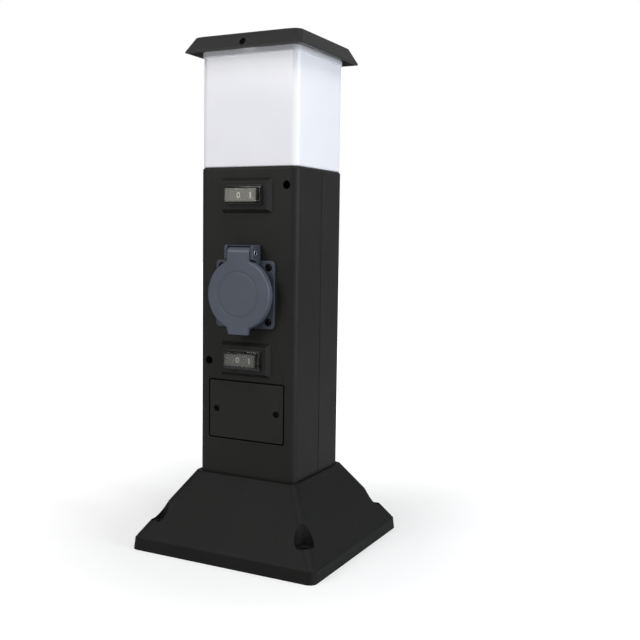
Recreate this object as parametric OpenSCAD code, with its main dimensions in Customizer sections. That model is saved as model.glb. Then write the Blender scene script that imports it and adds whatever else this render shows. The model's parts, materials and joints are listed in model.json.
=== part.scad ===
// Garden socket post: a two-shell column on a hollow plinth, with an opal lamp head under a
// hipped roof, a covered socket outlet, two booted rocker switches and a wiring panel.
// Millimetres. Origin on the ground under the middle of the post, front face towards -Y, +Z up.

/* [Plinth] */
// Width of the plinth at the ground
plinth_w = 157.2; // [150:0.2:180]
// Depth of the plinth at the ground
plinth_d = 150.6; // [142:0.2:172]
// Height of the plinth
plinth_h = 58; // [54:0.5:70]
// Height of the upright skirt
skirt_h = 8.8; // [6:0.2:12]
// How far the skirt leans in over its height
skirt_draft = 0.8; // [0.4:0.1:2]
// Wall of the plinth
plinth_wall = 3; // [2.4:0.1:3.6]
// Corner radius of the plinth
plinth_corner_r = 6; // [4:0.5:8]
// Width of the flat rim round the column
plinth_rim = 2.3; // [2:0.1:4]
// Depth that the column goes down into the plinth
column_sink = 12; // [9:0.5:14]
// Thickness of the ledge that the column stands on
ledge_t = 3; // [2.5:0.1:4]
// Distance of the ground screws from the plinth's edges
ground_inset = 16.2; // [15:0.1:18]
// Radius of the ground screw pockets
pocket_r = 7; // [6:0.1:8]
// Height of the pocket floors
pocket_floor_z = 20; // [16:0.5:21]
// Radius of the ground screw holes
ground_hole_r = 2.75; // [2:0.05:3.5]
// Radius of the spike socket
spike_r = 13.6; // [12:0.1:14]
// Wall of the spike socket
spike_wall = 2; // [1.6:0.1:2.4]
// Depth of the spike socket
spike_depth = 38; // [30:0.5:40]

/* [Column] */
// Width of the column
column_w = 83.5; // [80:0.5:90]
// Depth of the column
column_d = 75; // [72:0.5:82]
// Height of the column above the plinth
column_h = 232; // [228:0.5:250]
// Radius of the column's upright edges
column_corner_r = 6; // [4:0.5:8]
// Wall of the column shells
shell_wall = 2.5; // [2.2:0.1:3]
// Place of the shell seam behind the middle of the column
seam_y = 2; // [0:0.5:6]
// Width of the seam groove
seam_gap = 0.7; // [0.2:0.1:0.8]
// Distance of the shell screws from the middle of the column
shell_screw_x = 33; // [31:0.25:34]
// Height of the upper shell screw
shell_screw_upper_z = 276.5; // [274:0.25:278]
// Height of the lower shell screw
shell_screw_lower_z = 144.5; // [142:0.25:152]

/* [Lamp head] */
// Height of the diffuser that shows below the roof
diffuser_h = 83.5; // [80:0.5:95]
// Wall of the diffuser
diffuser_wall = 2.2; // [1.8:0.1:2.6]
// How far the diffuser is set in from the faces of the column
diffuser_in = 0.8; // [0.4:0.1:1]
// Height of the collar under the roof
collar_h = 2.5; // [2:0.5:6]
// How far the collar stands proud
collar_proud = 0.9; // [0.5:0.1:1.2]
// How far the eaves stand out at the sides of the column
roof_over_x = 7.75; // [7:0.25:12]
// How far the eaves stand out at the front and the back of the column
roof_over_y = 9.75; // [9.5:0.25:14]
// Height of the roof
roof_h = 11.5; // [10.5:0.25:16]
// How far the roof's top is set in from the eaves
roof_inset = 4.8; // [4:0.1:5.5]
// Wall of the roof
roof_wall = 2.5; // [2:0.1:3]
// Radius of the lamp's bulb
bulb_r = 22.5; // [19:0.5:25]

/* [Socket outlet] */
// Height of the middle of the socket
socket_z = 196.5; // [194:0.5:199]
// Width of the square flange
flange_w = 50; // [49:0.5:54]
// Thickness of the flange
flange_t = 2; // [1.8:0.1:2.6]
// Thickness of the flange gasket
flange_gasket_t = 0.6; // [0.5:0.1:1.2]
// Distance between the flange screws
flange_screw_pitch = 40; // [38:0.25:40.5]
// Radius of the plug well
well_r = 19.2; // [18.6:0.1:19.4]
// Depth of the plug well below the collar
well_depth = 17.5; // [15:0.5:20]
// Height of the collar above the column's face
collar_proud_h = 8; // [7.4:0.1:8.2]
// Distance between the pin holes
pin_pitch = 19; // [18:0.25:20]
// Radius of the lid
lid_r = 26.3; // [26:0.1:27]
// Height of the lid's face above the column's face
lid_face = 12.4; // [12:0.1:13]
// Width of the lid's neck
neck_w = 18.8; // [18:0.2:22]
// Height of the hinge pin above the middle of the socket
hinge_up = 30.5; // [30:0.1:31]
// Height of the hinge pin above the column's face
hinge_out = 8; // [7.8:0.1:8.2]
// Radius of the hinge pin
hinge_pin_r = 1.5; // [1.2:0.05:1.6]

/* [Switches] */
// Height of the upper switch
switch_upper_z = 269; // [267:0.25:270]
// Height of the lower switch
switch_lower_z = 147.5; // [147:0.25:150]
// Width of the switch surround at the column's face
surround_w = 42.5; // [42:0.5:48]
// Height of the switch surround at the column's face
surround_h = 25.5; // [23:0.5:26]
// Width of the surround's flat top
surround_top_w = 38.5; // [34:0.5:39.5]
// Height of the surround's flat top
surround_top_h = 20.5; // [18:0.5:21]
// How far the surround stands proud
surround_proud = 4; // [3:0.1:4.5]
// Width of the rocker boot at its front
boot_w = 26.5; // [26:0.1:27.2]
// Height of the rocker boot at its front
boot_h = 9.8; // [9.6:0.1:10.4]
// How far the boot stands above the surround
boot_proud = 6.3; // [6.2:0.1:7]
// Wall of the boot
boot_wall = 0.8; // [0.6:0.05:0.9]
// Tilt of a rocker from the middle to either side
rocker_tilt = 7; // [4:0.5:7]

/* [Wiring panel] */
// Width of the access panel
panel_w = 64; // [62:0.5:66]
// Height of the access panel
panel_h = 43.5; // [42:0.5:46]
// Thickness of the access panel
panel_t = 2; // [1.8:0.1:2.4]
// Height of the middle of the panel
panel_z = 108; // [106:0.5:109]
// Distance of the panel screws from the middle
panel_screw_x = 26; // [25.5:0.25:27]
// Thickness of the panel gasket
panel_gasket_t = 1; // [0.6:0.1:1.2]

/* [Cable gland] */
// Radius of the cable that the gland takes
cable_r = 4.5; // [3:0.1:4.6]
// Distance across the flats of the gland's nuts
gland_flats = 16; // [15.5:0.1:16.4]

/* [Fits] */
// Gap between the column and the plinth
column_gap = 0.3; // [0.2:0.05:0.5]
// Gap round the access panel
panel_gap = 1.05; // [0.3:0.05:1.2]
// Gap round screws in their holes
screw_gap = 0.05; // [0.03:0.01:0.1]
// Radial gap of the turning pins
running_gap = 0.06; // [0.02:0.01:0.09]
// Gap round pieces that drop into place
seat_gap = 0.2; // [0.1:0.05:0.3]

/* [Hidden] */
$fn = 64;
hull_fn = 32;
eps = 0.01;

// Colours
charcoal = "#2e2e2c";
blue_grey = "#565b67";
opal = "#f2f2f6";
smoke = "#8a887e";
rubber = "#1d1d1d";
steel = "#b9bcc0";
brass = "#c9a44a";

// Heights and half sizes of the column and the lamp head
front_y = -column_d / 2;
shell_bottom_z = plinth_h - column_sink;
column_top_z = plinth_h + column_h;
eaves_z = column_top_z + diffuser_h;
roof_top_z = eaves_z + roof_h;
diffuser_top_z = roof_top_z - roof_wall;
inner_w = column_w - 2 * shell_wall;
inner_d = column_d - 2 * shell_wall;

// Plinth
rim_half_x = column_w / 2 + column_gap + plinth_rim;
rim_half_y = column_d / 2 + column_gap + plinth_rim;
ledge_bottom_z = shell_bottom_z - ledge_t;
ground_x = plinth_w / 2 - ground_inset;
ground_y = plinth_d / 2 - ground_inset;
pillar_r = pocket_r + 2.5;
cable_notch_w = 12;
cable_notch_h = 7;

// Screws that hold the shells down on the ledge
base_screw_r = 1.5;
base_screw_head_r = 3;
base_screw_head_h = 2;
base_screw_l = 14;
base_boss_r = 4.5;
base_boss_h = 18;
base_screw_x = inner_w / 2 - base_boss_r - 2;
base_screw_y = inner_d / 2 - base_boss_r - 2;

// Cable gland beside the spike socket, on the diagonal towards a rear corner
gland_room = 1.9;
gland_at = (spike_r + spike_wall + gland_flats / 2 + gland_room) * sin(45);
gland_thread_r = cable_r + 1.6;
gland_hex_h = 5;
gland_nut_h = 4;
gland_neck_h = 6;
gland_cap_h = 14;
gland_seal_h = 6;
gland_seal_r = gland_thread_r - 0.2;

// Shell screws: deep holes in the front shell, bosses that meet at the seam
shell_screw_r = 1.4;
shell_screw_head_r = 2.3;
shell_screw_head_h = 1.8;
shell_screw_hole_r = 3.1;
shell_screw_seat_t = 4;
shell_screw_l = 16;
shell_boss_r = 4.4;
shell_screw_places = [[shell_screw_x, shell_screw_upper_z], [-shell_screw_x, shell_screw_lower_z]];
lip_t = 1.2;
lip_reach = 2;
lip_root = 3;

// Lamp plate on its ledge just under the top of the column
plate_t = 2.5;
plate_rib_w = 3;
plate_rib_h = 4;
plate_top_z = column_top_z - 2.5;
plate_rib_z = plate_top_z - plate_t;
diffuser_y = column_d / 2 - diffuser_in;
spigot_in = diffuser_in + diffuser_wall + 1.3;
spigot_t = 2;
spigot_top_z = column_top_z + 7;
seal_z = column_top_z + 1;
seal_h = 3;
plate_screw_r = 1.5;
plate_screw_head_r = 2.6;
plate_screw_head_h = 1.8;
plate_screw_l = 11;
plate_boss_r = 3.5;
plate_boss_h = 14;
plate_screw_x = 24;
plate_screw_y = column_d / 2 - spigot_in - spigot_t - plate_screw_head_r - 0.7;

// Lamp holder and lamp
holder_r = 19;
holder_h = 34;
holder_wall = 2.5;
holder_floor_t = 4;
lamp_thread_r = 13.2;
lamp_cap_h = 24;
lamp_cap_z = plate_top_z + holder_floor_t + 3.4;
lamp_contact_h = 3;
lamp_skin = 0.9;
bulb_z = lamp_cap_z + lamp_cap_h + bulb_r * cos(asin(lamp_thread_r / bulb_r));
lamp_wire_hole_x = 6;

// Roof
roof_w = column_w + 2 * roof_over_x;
roof_d = column_d + 2 * roof_over_y;
roof_edge_t = 0.8;
eaves_corner_r = 2;
roof_top_corner_r = 6;
roof_screw_r = 1.3;
roof_screw_head_r = 2.3;
roof_screw_head_h = 1.2;
roof_screw_l = 5.5;
roof_screw_z = eaves_z + roof_h * 0.42;
roof_pad_w = 11;
roof_pad_h = 4;
roof_face_y = roof_d / 2 - roof_inset * (roof_screw_z - eaves_z) / roof_h;
roof_pad_y = column_d / 2 + 3.6;
roof_screw_seat_y = roof_pad_y + 1.6;

// Socket
flange_back = flange_gasket_t;
flange_gasket_lip = 0.6;
flange_front = flange_back + flange_t;
flange_corner_r = 3;
insert_wall = 1.3;
insert_r = well_r + insert_wall;
tube_bore_r = insert_r + seat_gap / 2;
tube_r = tube_bore_r + 1.7;
tube_back = -14;
shell_hole_r = tube_r + 0.4;
well_floor = collar_proud_h - well_depth;
insert_front = collar_proud_h - 0.8;
insert_back = well_floor - 16.5;
bead_out = 0.45;
bead_h = 2;
bead_at = -4;
contact_r = 3.4;
contact_bore_r = 2.45;
pin_hole_r = 2.6;
contact_front = well_floor - 1.6;
contact_back = insert_back - 3;
strap_w = 4;
strap_t = 0.8;
strap_up = well_r - 1.4;
strap_back = insert_back - seat_gap - strap_t;
flange_screw_r = 1.4;
flange_screw_head_r = 2.4;
flange_screw_head_h = 1.4;
flange_screw_recess_r = 2.9;
flange_screw_recess = 1;
flange_screw_l = 8;
flange_boss_r = 3.6;
flange_boss_h = 7;
flange_screw_at = flange_screw_pitch / 2;

// Lid and hinge
lid_back = 6.6;
lid_wall = 1.7;
lid_face_t = 2.5;
lid_round = 1.5;
lid_root = lid_wall + 1.3;
face_root = lid_wall + 2.4;
lid_ring_r = 16;
lid_ring_w = 1.4;
lid_ring_deep = 0.2;
tab_w = 18.2;
tab_tip_w = 16.4;
tab_down = 3.2;
tab_t = 3.4;
knuckle_r = lid_face - hinge_out;
neck_t = 3.1;
ear_t = 2.4;
ear_gap = 0.5;
ear_out = neck_w / 2 + ear_gap + ear_t;
ear_front = 11.8;
ear_corner_r = 2.5;
lid_clear = 0.4;
ear_r = hinge_up - sqrt(pow(lid_r, 2) - pow(neck_w / 2 + ear_gap, 2)) - lid_clear;
hinge_top = hinge_up + 6.1;
hinge_wall_t = 1.3;
hinge_back_t = 1.6;
lid_seal_in = insert_r - 0.8;
lid_seal_out = lid_r - lid_wall - 1.6;
lid_seal_gap = 0.3;

// Return spring on the hinge pin
spring_wire_r = 0.35;
spring_r = hinge_pin_r + 0.85;
spring_turns = 4;
spring_pitch = 1.25;
spring_rings = 8;
spring_bay_w = spring_turns * spring_pitch + 2.6;
spring_bay_r = spring_r + spring_wire_r + 0.4;
spring_back_leg = hinge_out - flange_back - hinge_back_t - 0.1;
spring_front_leg = 1;

// Switches
switch_wall = 1.2;
switch_h = boot_h + 1.6;
switch_w = boot_w + 0.9;
frame_t = 1;
frame_w = switch_w + 3.6;
frame_h = switch_h + 3.6;
switch_back = -14;
switch_clip_t = 0.9;
cavity_w = switch_w - 1.8;
cavity_h = switch_h - 2 * switch_wall;
cavity_back = -4;
pivot_out = 1.5;
trunnion_r = 1.4;
rocker_w = boot_w - 3.3;
rocker_h = boot_h - 2.4;
rocker_top = surround_proud + boot_proud - 2.7;
rocker_belly = -1;
boot_foot_t = 0.8;
boot_foot_w = frame_w - 1;
boot_foot_h = frame_h - 1;
boot_draft = 0.75;
switch_tab_w = 4.8;
switch_tab_t = 0.8;
switch_tab_l = 8;
switch_tab_x = 8;

// Access panel
ledge_frame_t = 3;
ledge_frame_in = 9;
panel_depth = panel_t + panel_gasket_t;
panel_corner_r = 0.8;
panel_screw_r = 1.2;
panel_screw_head_r = 2.2;
panel_screw_head_h = 0.9;
panel_screw_recess_r = 2.5;
panel_screw_recess = 1;
panel_screw_l = 8;
panel_boss_r = 3.4;
panel_boss_h = 6;

// Terminal block on two posts of the rear shell
block_w = 46;
block_h = 17;
block_d = 16;
block_y = 0;
block_post_r = 4;
block_post_x = 18.5;
block_screw_r = 1.4;
block_screw_head_r = 2.6;
block_screw_head_h = 1.6;
block_screw_l = 22;
block_hole_r = 1.6;
pole_x = [-9, 0, 9];
pole_r = 2.6;
pole_screw_r = 1.7;
clamp_l = block_h - 3;

// Wires: radius, sides and smoothing
wire_r = 1.1;
wire_sides = 8;
wire_steps = 3;
wire_gap = 0.2;
pair_x = wire_r + 0.25;

// Shared shapes

// Rectangle with round corners, about its middle
module rounded_rect(w, h, r) {
    square([w - 2 * r, h], center = true);
    square([w, h - 2 * r], center = true);
    for (x = [-1, 1], y = [-1, 1])
        translate([x * (w / 2 - r), y * (h / 2 - r)]) circle(r);
}

// The column's outline, drawn in by a distance
module column_section(inset = 0) {
    rounded_rect(column_w - 2 * inset, column_d - 2 * inset, max(column_corner_r - inset, 0.6));
}

// A closed band of the column's outline
module column_band(outer, inner) {
    difference() {
        column_section(outer);
        column_section(inner);
    }
}

// Half of the plan, in front of the seam or behind it
module seam_half(side) {
    reach = column_w + column_d;
    translate([-reach, side < 0 ? seam_y - seam_gap / 2 - reach : seam_y + seam_gap / 2])
        square([2 * reach, reach]);
}

// Places a shape on the column's front face: its x to the right, y up and z outwards
module on_front(x, z) {
    translate([x, front_y, z]) rotate([90, 0, 0]) children();
}

// Side view of a block with sloping sides, with an upright root below its larger face
function frustum_side(low, high, t, root) = concat(
    root > 0 ? [[-low / 2, -root], [low / 2, -root]] : [],
    [[low / 2, 0], [high / 2, t], [-high / 2, t], [-low / 2, 0]]);

// Block with four sloping sides, standing on its larger face
module frustum_block(w0, h0, w1, h1, t, root = 0) {
    intersection() {
        rotate([90, 0, 0])
            linear_extrude(h0 + 1, center = true) polygon(frustum_side(w0, w1, t, root));
        rotate([90, 0, 90])
            linear_extrude(w0 + 1, center = true) polygon(frustum_side(h0, h1, t, root));
    }
}

// Cross-headed screw, its head seated at z = 0
module screw(head_r, head_h, shank_r, l) {
    slot_w = head_r * 0.32;
    slot_l = head_r * 1.3;
    difference() {
        union() {
            cylinder(h = head_h, r = head_r);
            translate([0, 0, -l]) cylinder(h = l + eps, r = shank_r);
        }
        for (a = [0, 90])
            rotate(a) translate([-slot_l / 2, -slot_w / 2, head_h * 0.4]) cube([slot_l, slot_w, head_h]);
    }
}

// Hexagonal bar between its flats
module hexagon(flats, h) {
    cylinder(h = h, r = flats / 2 / cos(30), $fn = 6);
}

// Solid with round corners whose half sizes change from the bottom to the top
module tapered_solid(low, high, low_r, high_r, z0, z1, edge = 0.02) {
    hull() {
        for (x = [-1, 1], y = [-1, 1]) {
            translate([x * (low[0] - low_r), y * (low[1] - low_r), z0])
                cylinder(h = edge, r = low_r, $fn = hull_fn);
            translate([x * (high[0] - high_r), y * (high[1] - high_r), z1 - edge])
                cylinder(h = edge, r = high_r, $fn = hull_fn);
        }
    }
}

// Curve through hand-set points, with extra points between them
function spline_point(p, i, t) =
    let (n = len(p),
         a = p[max(i - 1, 0)], b = p[i], c = p[min(i + 1, n - 1)], d = p[min(i + 2, n - 1)])
    0.5 * (2 * b + (c - a) * t + (2 * a - 5 * b + 4 * c - d) * t * t + (3 * b - a - 3 * c + d) * t * t * t);
function spline(p, steps) = concat(
    [for (i = [0 : len(p) - 2], k = [0 : steps - 1]) spline_point(p, i, k / steps)],
    [p[len(p) - 1]]);
function unit(v) = v / norm(v);
function tangent(p, i) = unit(p[min(i + 1, len(p) - 1)] - p[max(i - 1, 0)]);
function carried(u, t) = unit(u - (u * t) * t);

// Side directions of a tube's rings, each carried on from the one before
function ring_sides(p, first) = [
    for (i = 0, u = carried(first, tangent(p, 0)); i < len(p);
         i = i + 1, u = i < len(p) ? carried(u, tangent(p, i)) : u) u];

// Tube of one wire along its points
module tube(p, r, sides, first) {
    n = len(p);
    u = ring_sides(p, first);
    rings = [for (i = [0 : n - 1], k = [0 : sides - 1])
        let (v = cross(tangent(p, i), u[i]), a = 360 * k / sides)
        p[i] + r * (cos(a) * u[i] + sin(a) * v)];
    sides_faces = [for (i = [0 : n - 2], k = [0 : sides - 1], h = [0, 1])
        let (a = i * sides + k, b = i * sides + (k + 1) % sides)
        h == 0 ? [a, b + sides, b] : [a, a + sides, b + sides]];
    end_faces = [for (k = [1 : sides - 2], h = [0, 1])
        let (last = (n - 1) * sides)
        h == 0 ? [0, k, k + 1] : [last, last + k + 1, last + k]];
    polyhedron(points = rings, faces = concat(sides_faces, end_faces));
}

// Insulated wire along hand-set points
module wire(p) {
    tube(spline(p, wire_steps), wire_r, wire_sides, [1, 0.2, 0.1]);
}

// Plinth and what fastens the column to it

module plinth_outside() {
    foot = [plinth_w / 2, plinth_d / 2];
    shoulder = foot - [skirt_draft, skirt_draft];
    tapered_solid(foot, shoulder, plinth_corner_r, plinth_corner_r, 0, skirt_h);
    tapered_solid(shoulder, [rim_half_x, rim_half_y], plinth_corner_r, plinth_corner_r, skirt_h - eps, plinth_h);
}

module plinth_inside() {
    rise = (ledge_bottom_z - skirt_h) / (plinth_h - skirt_h);
    foot = [plinth_w / 2 - plinth_wall - skirt_draft, plinth_d / 2 - plinth_wall - skirt_draft];
    under_ledge = foot + rise * ([rim_half_x, rim_half_y] - [plinth_w / 2, plinth_d / 2]);
    corner_r = plinth_corner_r - plinth_wall;
    translate([0, 0, -1]) tapered_solid(foot, foot, corner_r, corner_r, 0, skirt_h);
    tapered_solid(foot, under_ledge, corner_r, corner_r, skirt_h - 1 - eps, ledge_bottom_z);
}

module base_plinth() {
    color(charcoal)
    difference() {
        union() {
            difference() {
                plinth_outside();
                plinth_inside();
            }
            intersection() {
                plinth_outside();
                for (x = [-1, 1], y = [-1, 1])
                    translate([x * ground_x, y * ground_y, 0]) cylinder(h = plinth_h, r = pillar_r);
            }
            translate([0, 0, ledge_bottom_z - spike_depth])
                cylinder(h = spike_depth + eps, r = spike_r + spike_wall);
        }
        translate([0, 0, shell_bottom_z])
            linear_extrude(column_sink + 1) column_section(-column_gap);
        translate([0, 0, ledge_bottom_z - spike_depth - 1]) cylinder(h = spike_depth + 1, r = spike_r);
        for (x = [-1, 1], y = [-1, 1]) {
            translate([x * ground_x, y * ground_y, pocket_floor_z]) cylinder(h = plinth_h, r = pocket_r);
            translate([x * ground_x, y * ground_y, -1]) cylinder(h = plinth_h, r = ground_hole_r);
            translate([x * base_screw_x, y * base_screw_y, 0])
                cylinder(h = plinth_h, r = base_screw_r + screw_gap);
        }
        translate([gland_at, gland_at, 0]) cylinder(h = plinth_h, r = gland_thread_r + seat_gap);
        translate([0, plinth_d / 2, 0]) {
            translate([-cable_notch_w / 2, -plinth_wall * 2, -1])
                cube([cable_notch_w, plinth_wall * 4, cable_notch_h - cable_notch_w / 2 + 1]);
            translate([0, plinth_wall * 2, cable_notch_h - cable_notch_w / 2])
                rotate([90, 0, 0]) cylinder(h = plinth_wall * 4, r = cable_notch_w / 2);
        }
    }
}

module base_screws() {
    color(steel)
    for (x = [-1, 1], y = [-1, 1])
        translate([x * base_screw_x, y * base_screw_y, ledge_bottom_z])
            rotate([180, 0, 0]) screw(base_screw_head_r, base_screw_head_h, base_screw_r, base_screw_l);
}

module gland_body() {
    color(rubber)
    translate([gland_at, gland_at, 0])
    difference() {
        union() {
            translate([0, 0, ledge_bottom_z - gland_hex_h]) rotate(30) hexagon(gland_flats, gland_hex_h);
            translate([0, 0, ledge_bottom_z - eps])
                cylinder(h = ledge_t + gland_nut_h + 2, r = gland_thread_r);
            translate([0, 0, ledge_bottom_z - gland_hex_h - gland_neck_h])
                cylinder(h = gland_neck_h + eps, r = gland_thread_r);
        }
        translate([0, 0, ledge_bottom_z - gland_hex_h - gland_neck_h - 1])
            cylinder(h = plinth_h, r = cable_r);
    }
}

module gland_lock_nut() {
    color(rubber)
    translate([gland_at, gland_at, shell_bottom_z])
    difference() {
        rotate(30) hexagon(gland_flats, gland_nut_h);
        translate([0, 0, -1]) cylinder(h = gland_nut_h + 2, r = gland_thread_r + screw_gap);
    }
}

module gland_cap() {
    color(rubber)
    translate([gland_at, gland_at, ledge_bottom_z - gland_hex_h - gland_cap_h - 0.3])
    difference() {
        cylinder(h = gland_cap_h, r = gland_flats / 2 - 0.2);
        translate([0, 0, gland_cap_h - gland_neck_h - gland_seal_h])
            cylinder(h = gland_cap_h, r = gland_thread_r + screw_gap);
        translate([0, 0, -1]) cylinder(h = gland_cap_h + 2, r = cable_r);
    }
}

module gland_seal() {
    color("#4a4a4a")
    translate([gland_at, gland_at, ledge_bottom_z - gland_hex_h - gland_neck_h - gland_seal_h - 0.15])
    difference() {
        cylinder(h = gland_seal_h, r = gland_seal_r);
        translate([0, 0, -1]) cylinder(h = gland_seal_h + 2, r = cable_r);
    }
}

// Column shells

// Wall, plate rib and bosses that both shells have
module shell_half(side) {
    translate([0, 0, shell_bottom_z])
        linear_extrude(column_top_z - shell_bottom_z)
            intersection() {
                column_band(0, shell_wall);
                seam_half(side);
            }
    translate([0, 0, plate_rib_z - plate_rib_h])
        linear_extrude(plate_rib_h)
            intersection() {
                column_band(shell_wall - eps, shell_wall + plate_rib_w);
                seam_half(side);
            }
    for (x = [-1, 1]) {
        translate([x * base_screw_x, side * base_screw_y, shell_bottom_z]) {
            cylinder(h = base_boss_h, r = base_boss_r);
            translate([x > 0 ? 0 : -base_boss_r - 2 - eps, -1, 0])
                cube([base_boss_r + 2 + eps, 2, base_boss_h]);
        }
        translate([x * plate_screw_x, side * plate_screw_y, plate_rib_z - plate_boss_h]) {
            cylinder(h = plate_boss_h, r = plate_boss_r);
            translate([-1, side < 0 ? -(inner_d / 2 - plate_screw_y) - eps : 0, 0])
                cube([2, inner_d / 2 - plate_screw_y + eps, plate_boss_h]);
        }
    }
}

// Screw holes that both shells have
module shell_holes(side) {
    for (x = [-1, 1]) {
        translate([x * base_screw_x, side * base_screw_y, shell_bottom_z - 1])
            cylinder(h = base_boss_h - 1, r = base_screw_r + screw_gap);
        translate([x * plate_screw_x, side * plate_screw_y, plate_rib_z - plate_boss_h + 1])
            cylinder(h = plate_boss_h, r = plate_screw_r + screw_gap);
    }
}

module switch_surround(z) {
    on_front(0, z)
        frustum_block(surround_w, surround_h, surround_top_w, surround_top_h, surround_proud, shell_wall / 2);
}

// Lip inside the front shell's seam, lapped behind the rear shell's wall
module seam_lip() {
    low = plinth_h + 2;
    high = plate_rib_z - plate_rib_h - 1;
    for (x = [-1, 1]) {
        inner_x = x * inner_w / 2;
        translate([inner_x - (x > 0 ? lip_t + seat_gap : -seat_gap), seam_y - lip_root, low])
            cube([lip_t, lip_root + lip_reach, high - low]);
        translate([inner_x - (x > 0 ? lip_t + seat_gap : eps), seam_y - lip_root, low])
            cube([lip_t + seat_gap + eps, lip_root - 1, high - low]);
    }
}

module front_shell() {
    boss_l = seam_y - front_y;
    color(charcoal)
    difference() {
        union() {
            shell_half(-1);
            seam_lip();
            for (z = [switch_upper_z, switch_lower_z]) switch_surround(z);
            for (p = shell_screw_places)
                translate([p[0], front_y + eps, p[1]])
                    rotate([-90, 0, 0]) cylinder(h = boss_l - eps, r = shell_boss_r);
            on_front(0, panel_z)
                translate([0, 0, -panel_depth - ledge_frame_t])
                    linear_extrude(panel_depth + ledge_frame_t - eps)
                        rounded_rect(panel_w + 5, panel_h + 5, 2);
            for (x = [-1, 1])
                on_front(x * panel_screw_x, panel_z)
                    translate([0, 0, -panel_depth - ledge_frame_t - panel_boss_h])
                        cylinder(h = panel_boss_h + eps, r = panel_boss_r);
            for (x = [-1, 1], y = [-1, 1])
                on_front(x * flange_screw_at, socket_z + y * flange_screw_at)
                    translate([0, 0, -shell_wall - flange_boss_h])
                        cylinder(h = flange_boss_h + eps, r = flange_boss_r);
        }
        shell_holes(-1);
        for (z = [switch_upper_z, switch_lower_z])
            on_front(0, z)
                translate([0, 0, -shell_wall - 1])
                    linear_extrude(shell_wall + surround_proud + 2)
                        square([switch_w + 2 * seat_gap, switch_h + 2 * seat_gap], center = true);
        for (p = shell_screw_places)
            translate([p[0], front_y - 1, p[1]]) rotate([-90, 0, 0]) {
                cylinder(h = boss_l - shell_screw_seat_t + 1, r = shell_screw_hole_r);
                cylinder(h = boss_l + 2, r = shell_screw_r + screw_gap);
            }
        on_front(0, panel_z) {
            translate([0, 0, -panel_depth])
                linear_extrude(panel_depth + 1)
                    rounded_rect(panel_w + 2 * panel_gap, panel_h + 2 * panel_gap,
                                 panel_corner_r + panel_gap);
            translate([0, 0, -panel_depth - ledge_frame_t - 1])
                linear_extrude(ledge_frame_t + 2)
                    rounded_rect(panel_w - 2 * ledge_frame_in, panel_h - ledge_frame_in, 2);
        }
        for (x = [-1, 1])
            on_front(x * panel_screw_x, panel_z)
                translate([0, 0, -panel_depth - ledge_frame_t - panel_boss_h + 1])
                    cylinder(h = panel_depth + ledge_frame_t + panel_boss_h, r = panel_screw_r + screw_gap);
        on_front(0, socket_z)
            translate([0, 0, -shell_wall - 1]) cylinder(h = shell_wall + 2, r = shell_hole_r);
        for (x = [-1, 1], y = [-1, 1])
            on_front(x * flange_screw_at, socket_z + y * flange_screw_at)
                translate([0, 0, -shell_wall - flange_boss_h + 1])
                    cylinder(h = shell_wall + flange_boss_h, r = flange_screw_r + screw_gap);
    }
}

module rear_shell() {
    boss_l = column_d / 2 - seam_y;
    post_l = inner_d / 2 - block_y - block_d;
    color(charcoal)
    difference() {
        union() {
            shell_half(1);
            for (p = shell_screw_places)
                translate([p[0], column_d / 2 - eps, p[1]])
                    rotate([90, 0, 0]) cylinder(h = boss_l - eps, r = shell_boss_r);
            for (x = [-1, 1])
                translate([x * block_post_x, inner_d / 2 + eps, panel_z])
                    rotate([90, 0, 0]) cylinder(h = post_l + eps, r = block_post_r);
        }
        shell_holes(1);
        for (p = shell_screw_places)
            translate([p[0], seam_y - 1, p[1]])
                rotate([-90, 0, 0]) cylinder(h = boss_l - shell_wall, r = shell_screw_r + screw_gap);
        for (x = [-1, 1])
            translate([x * block_post_x, block_y + block_d - 1, panel_z])
                rotate([-90, 0, 0]) cylinder(h = post_l, r = block_screw_r + screw_gap);
    }
}

module shell_screws() {
    color(steel)
    for (p = shell_screw_places)
        translate([p[0], seam_y - shell_screw_seat_t, p[1]])
            rotate([90, 0, 0]) screw(shell_screw_head_r, shell_screw_head_h, shell_screw_r, shell_screw_l);
}

// Wiring panel and terminals

module access_panel() {
    color(charcoal)
    on_front(0, panel_z)
    difference() {
        translate([0, 0, -panel_t]) linear_extrude(panel_t) rounded_rect(panel_w, panel_h, panel_corner_r);
        for (x = [-1, 1]) translate([x * panel_screw_x, 0, -panel_t - 1]) {
            cylinder(h = panel_t + 2, r = panel_screw_r + screw_gap);
            translate([0, 0, panel_t + 1 - panel_screw_recess])
                cylinder(h = panel_screw_recess + 1, r = panel_screw_recess_r);
        }
    }
}

module panel_gasket() {
    color(rubber)
    on_front(0, panel_z)
    difference() {
        translate([0, 0, -panel_depth])
            linear_extrude(panel_gasket_t)
                difference() {
                    rounded_rect(panel_w, panel_h, panel_corner_r);
                    rounded_rect(panel_w - 2 * ledge_frame_in + 1, panel_h - ledge_frame_in + 1, 2);
                }
        for (x = [-1, 1]) translate([x * panel_screw_x, 0, -panel_depth - 1])
            cylinder(h = panel_gasket_t + 2, r = panel_screw_r + screw_gap);
    }
}

module panel_screws() {
    color(steel)
    for (x = [-1, 1])
        on_front(x * panel_screw_x, panel_z)
            translate([0, 0, -panel_screw_recess])
                screw(panel_screw_head_r, panel_screw_head_h, panel_screw_r, panel_screw_l);
}

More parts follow.
